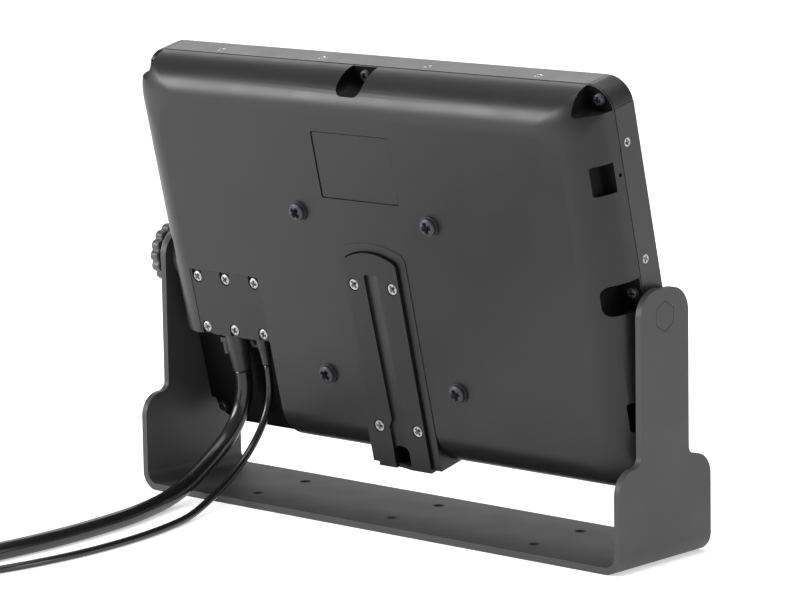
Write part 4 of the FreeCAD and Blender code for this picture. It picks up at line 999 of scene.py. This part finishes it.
@dataclass
class RearCover:
    """The moulded back: rolled all round, with screw pockets, a connector bay and a raised rail seat."""

    half_width: float = 0.1313
    top: float = 0.0993
    bottom: float = -0.0763
    seam: float = 0.0040
    rear: float = 0.022
    roll: float = 0.0182
    corner: float = 0.011
    wall: float = 0.0022
    cup_wall: float = 0.0018
    slack: float = 0.0002
    roll_steps: int = 16
    hatch_low: Flat = (0.0705, -0.03)
    hatch_high: Flat = (0.1125, 0.0036)
    hatch_depth: float = 0.0016
    window_low: Flat = (0.078, -0.0205)
    window_high: Flat = (0.105, -0.0029)
    window_depth: float = 0.006
    seat_front: float = 0.0052
    seat_height: float = 0.0005
    recess_depth: float = 0.0012
    label_half: float = 0.0222
    label_rows: Flat = (0.045, 0.075)
    label_depth: float = 0.0002
    groove_width: float = 0.00045
    groove_depth: float = 0.0007
    pin_place: Point = (-0.133, 0.0062, 0.0624)
    pin_radius: float = 0.00085

    def _ring(self, inset: float, depth: float) -> List[Point]:
        """One level of the roll: the plan outline drawn in by the inset, at a depth."""
        radius = self.corner + 0.35 * inset
        outline = rounded_rectangle((-self.half_width + inset, self.bottom + inset),
                                    (self.half_width - inset, self.top - inset), [radius] * 4, 12)
        return [(x, depth, z) for x, z in outline]

    def _rolled(self, name: str, wall: float, steps: int, start: float, inset: float = 0.0) -> Piece:
        """A solid with the cover's roll, a wall's thickness inside it.

        Args:
            name: the object's name.
            wall: how far inside the cover's surface it lies.
            steps: the segments of the roll.
            start: the depth of its front.
            inset: how far the whole plan is drawn in besides.

        Returns:
            The new object.
        """
        reach = self.roll - wall
        rings = []
        for step in range(steps + 1):
            angle = math.radians(90.0 * step / steps)
            rings.append(self._ring(wall + inset + reach * (1 - math.cos(angle)),
                                    start + reach * math.sin(angle)))
        return rings_solid(name, rings)

    def _shell(self) -> Piece:
        """The rolled shell with an open front, with a second finish ready for the painted shade in its
        pockets.
        """
        shell = self._rolled("rear_shell", 0.0, self.roll_steps, self.seam)
        shell.data.materials.append(COVER_PLASTIC.material())
        # The second finish: the near-black painted shade of the pockets.
        shell.data.materials.append(POCKET_SHADE_BLACK.material())
        return carve(shell, "DIFFERENCE", [self._rolled("hollow", self.wall, 8, self.seam - 0.0005)])

    def _add_cups(self, cover: Piece) -> None:
        """Adds the walls that line the pockets and the bay."""
        body = self._rolled("envelope", 0.0, self.roll_steps, self.seam - self.slack, self.slack)
        start = self.seam + self.slack
        tools = [pocket.tool(self.cup_wall, start, side) for pocket, side in POCKETS]
        tools.append(replace(BAY, radii=(0, 0, 0, 0)).tool(self.cup_wall, start))
        for tool in tools:
            part = new_object("filled", body.data.copy())
            carve(part, "INTERSECT", [tool])
            carve(cover, "UNION", [part])
        discard(body)

    def build(self) -> Piece:
        """Makes the shell and its cups, then cuts the pockets, bay and recesses."""
        cover = self._shell()
        self._add_cups(cover)
        seat = prism("rail_seat", arched(0.0197, 0.0262, self.bottom + 0.0003, 0.0055),
                     self.seat_front, self.rear + self.seat_height)
        carve(cover, "UNION", [seat])
        hatch = rounded_rectangle(self.hatch_low, self.hatch_high, [0] * 4)
        window = rounded_rectangle(self.window_low, self.window_high, [0] * 4)
        carve(cover, "DIFFERENCE", [
            prism("label_recess", self._label(0.0), self.rear - self.label_depth, BEYOND),
            self._label_groove(),
            prism("hatch_recess", hatch, self.rear - self.hatch_depth, BEYOND),
            prism("hatch_window", window, self.rear - self.window_depth, BEYOND)])
        # The pockets, the bay, the pin hole, the rail recess and the foot notch get near-black cut faces:
        # painted shade.
        shade_painted_cuts = [pocket.tool(0.0, pocket.floor, side) for pocket, side in POCKETS]
        shade_painted_cuts += [BAY.tool(0.0, BAY.floor), self._pin_hole(),
                 prism("rail_recess", arched(0.0155, 0.0229, PAST_BOTTOM, 0.0032),
                       self.rear - self.recess_depth, BEYOND),
                 prism("bottom_notch", FOOT_WINDOW, TOP_POCKET.floor, BEYOND)]
        carve(cover, "DIFFERENCE", shade_painted_cuts, inner=True)
        soften(cover, 0.0004, 2, 32.0)
        return dress(moved(cover, HOUSING), COVER_PLASTIC, Slot.COVER, "display", "rear_cover")

    def _pin_hole(self) -> Piece:
        """The small round hole in the right side of the rim."""
        hole = lathe("pin_hole", [(self.pin_radius, 0.0), (self.pin_radius, 0.004)], 20)
        return moved(hole, turned_to(self.pin_place, 90.0, "Y"))

    def _label(self, inset: float) -> Outline:
        """The outline of the label's place, drawn in by the inset."""
        low, high = self.label_rows
        return rounded_rectangle((-self.label_half + inset, low + inset),
                                 (self.label_half - inset, high - inset), [0.0009] * 4, 4)

    def _label_groove(self) -> Piece:
        """The fine groove round the label's place."""
        low = self.rear - self.groove_depth
        rings = [[(x, y, z) for x, z in self._label(inset)]
                 for inset, y in ((0.0, low), (0.0, BEYOND), (self.groove_width, BEYOND),
                                  (self.groove_width, low))]
        return rings_solid("label_groove", rings, closed=True)


@dataclass
class StandRail:
    """The plate with a keyed channel that the display slides onto a stand by."""

    half: float = 0.015
    face: float = 0.024
    back: float = 0.02105
    crown: float = 0.0224
    foot: float = -0.077
    seat_radius: float = 0.0029
    seat_depth: float = 0.0013

    def build(self) -> Piece:
        """Makes the arched plate and cuts its channel, foot window and screw seats."""
        plate = prism("stand_plate", arched(self.half, self.crown, self.foot, 0.003), self.back, self.face)
        tools = [self._channel(), prism("foot_notch", FOOT_WINDOW, 0.01, BEYOND)]
        for x, _, z in STAND_PLACES:
            seat = lathe("seat", [(self.seat_radius, 0.0), (self.seat_radius, 0.004)], 32)
            tools.append(moved(seat, turned_to((x, self.face - self.seat_depth, z), -90.0, "X")))
        carve(plate, "DIFFERENCE", tools)
        soften(plate, 0.0003, 2, 32.0)
        return dress(moved(plate, HOUSING), PLATE_PLASTIC, Slot.FITTING, "display", "stand_rail")

    def _channel(self) -> Piece:
        """A groove with one steep wall and one gentle ramp, running out at the foot."""
        deep = self.face - 0.0012
        above = self.face + 0.001
        rings = []
        for z, wall in ((0.0125, 0.0034), (0.0121, 0.0040), (0.0112, 0.0043), (-0.0545, 0.0031),
                        (-0.0575, 0.0050), (-0.0585, 0.0050), (-0.08, 0.0050)):
            ramp = wall - 0.0085
            rings.append([(ramp, above, z), (wall, above, z), (wall, deep, z), (wall - 0.0012, deep, z),
                          (wall - 0.0036, deep + 0.00025, z), (wall - 0.0060, deep + 0.0007, z),
                          (ramp, self.face + 0.00002, z)])
        return rings_solid("channel", rings)


@dataclass(frozen=True)
class SoftPiece:
    """A CAD node shown as a copy with rounded edges."""

    node: str
    name: str
    finish: Finish
    slot: Slot
    width: float
    segments: int = 2
    body: str = "display"

    def build(self) -> Piece:
        """Makes the copy and dresses it."""
        copy = softened_node(self.node, self.name, self.width, self.segments)
        return dress(copy, self.finish, self.slot, self.body, self.node)


@dataclass
class SoftPieces:
    """One sub-assembly that is shown as softened copies of its CAD nodes."""

    pieces: Sequence[SoftPiece]

    def build(self) -> None:
        """Makes every copy."""
        for piece in self.pieces:
            piece.build()


class Bracket(SoftPieces):
    """The bent plate bracket that carries the housing, and its hexagon pivot."""

    def __init__(self) -> None:
        """Lists the two pieces."""
        super().__init__([
            SoftPiece("u_bracket", "u_bracket_skin", BRACKET_COAT, Slot.BRACKET, 0.0006, 3, "bracket"),
            SoftPiece("hexagon_pivot", "hexagon_pivot_skin", BRACKET_COAT, Slot.BRACKET, 0.0005,
                      body="bracket"),
        ])


class Plates(SoftPieces):
    """The rails and caps of the rim, the connector cover and the spare bracket."""

    def __init__(self) -> None:
        """Lists the pieces of the rim and the two fittings."""
        corners = [height + side for height in ("top_", "bottom_") for side in ("left", "right")]
        rims = [side + "_rail" for side in ("top", "bottom", "left", "right")]
        rims += ["corner_cap_" + corner for corner in corners]
        super().__init__(
            [SoftPiece(node, node + "_skin", RAIL_PAINT, Slot.RAIL, 0.0004) for node in rims]
            + [SoftPiece(node, node + "_skin", PLATE_PLASTIC, Slot.FITTING, 0.0003)
               for node in ("connector_cover", "spare_bracket")])


class Plugs(SoftPieces):
    """The two plugs in the bay, their locking screw and the two plugs at the coils' ends."""

    def __init__(self) -> None:
        """Lists the four plugs and the screw."""
        super().__init__([
            SoftPiece("video_plug", "video_near_plug", PLUG_MOULD, Slot.PLUG, 0.0006, 3),
            SoftPiece("power_plug", "power_near_plug", PLUG_MOULD, Slot.PLUG, 0.0004),
            SoftPiece("video_plug_thumbscrew", "thumbscrew_skin", BLACK_SCREW, Slot.BLACK_SCREW, 0.0002, 2,
                      "thumbscrew"),
            SoftPiece("video_cable_plug", "video_far_plug", PLUG_MOULD, Slot.PLUG, 0.0008, 3, "bracket"),
            SoftPiece("power_cable_plug", "power_far_plug", PLUG_MOULD, Slot.PLUG, 0.0005, 2, "bracket"),
        ])


@dataclass
class Knob:
    """The lobed hand knob."""

    full: float = 0.0146
    lobes: int = 16
    lobe_depth: float = 0.0011
    lobe_band: Flat = (0.0019, 0.0088)
    hub_start: float = 0.0023

    def _lobed(self, angle: float, height: float) -> float:
        """How much the rim stands back between the lobes."""
        if height < self.lobe_band[0] or height > self.lobe_band[1]:
            return 0.0
        wave = 0.5 - 0.5 * math.cos(self.lobes * angle)
        return -self.lobe_depth * wave ** 2

    def build(self) -> Piece:
        """Turns the knob along X, with its hub towards the bracket."""
        full = self.full
        profile = [(0.0062, self.hub_start), (0.0078, 0.0026), (0.0078, 0.0042), (0.0112, 0.0044),
                   (0.0120, 0.0036), (full - 0.0011, 0.0033), (full - 0.0003, 0.0037), (full, 0.0045),
                   (full, 0.0072), (full - 0.0004, 0.0080), (full - 0.0014, 0.0086), (0.0110, 0.00885),
                   (0.0090, 0.0088), (0.0080, 0.0082), (0.0030, 0.0080), (0.0003, 0.0080)]
        knob = lathe("knob_skin", profile, 192, self._lobed)
        place = (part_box("knob_grip")[0][0] - self.hub_start, 0.0, joint_named("knob_turn")["pos_m"][2])
        moved(knob, turned_to(place, 90.0, "Y"))
        shaded(knob, 35.0)
        return dress(knob, KNOB_PLASTIC, Slot.KNOB, "knob", "knob_grip")


# ---- the screen side ----


@dataclass
class ScreenMask:
    """The printed black border on the back of the cover glass."""

    half_width: float = 0.1292
    low: float = -0.0665
    high: float = 0.0895
    active_half_width: float = 0.111
    active_low: float = -0.0595
    active_high: float = 0.0825
    depth: float = -0.00545
    gauge: float = 0.0001

    def build(self) -> Piece:
        """Makes the border as a thin frame."""
        outer = rounded_rectangle((-self.half_width, self.low), (self.half_width, self.high), [0.006] * 4, 6)
        inner = rounded_rectangle((-self.active_half_width, self.active_low),
                                  (self.active_half_width, self.active_high), [0.0008] * 4, 6)
        back = self.depth + self.gauge
        rings = [[(x, self.depth, z) for x, z in outer], [(x, self.depth, z) for x, z in inner],
                 [(x, back, z) for x, z in inner], [(x, back, z) for x, z in outer]]
        mask = rings_solid("screen_mask", rings, closed=True)
        return dress(moved(mask, HOUSING), MASK_INK, Slot.RUBBER, "display")


def repaint_kept_nodes() -> None:
    """Gives the CAD nodes that stay as they are their finishes."""
    kept: Dict[str, Surface] = {
        "cover_glass": CLEAR_GLASS, "glass_gasket": RUBBER, "cover_gasket": RUBBER,
        "lcd_panel": SCREEN_PANEL, "panel_tray": TRAY_STEEL, "front_chassis": CAST_METAL,
        "main_board": BOARD_GREEN, "power_board": BOARD_GREEN, "main_board_screws": STEEL_SCREW,
        "power_board_screws": STEEL_SCREW, "video_socket": FITTING_PLASTIC,
        "power_socket": FITTING_PLASTIC, "spare_nut": BLACK_SCREW, "vesa_washers": BLACK_SCREW,
        "vesa_inserts": INSERT_BRASS, "pivot_insert_left": INSERT_BRASS, "pivot_bush_right": WASHER_NYLON,
        "friction_washer_left": WASHER_NYLON, "friction_washer_right": WASHER_NYLON,
        "knob_washer": WASHER_NYLON, "knob_stud": STEEL_SCREW,
    }
    for node, finish in kept.items():
        repaint(node, finish)


# ---- the whole display ----


def main() -> None:
    """Builds the studio, the cords and the display, one piece after another."""
    logging.basicConfig(level=logging.INFO, format="%(name)s: %(message)s")
    Studio().build()
    repaint_kept_nodes()
    Bracket().build()
    RearCover().build()
    StandRail().build()
    Plates().build()
    Knob().build()
    ScreenMask().build()
    build_screws()
    Plugs().build()
    build_cords()


if __name__ == "__main__":
    main()
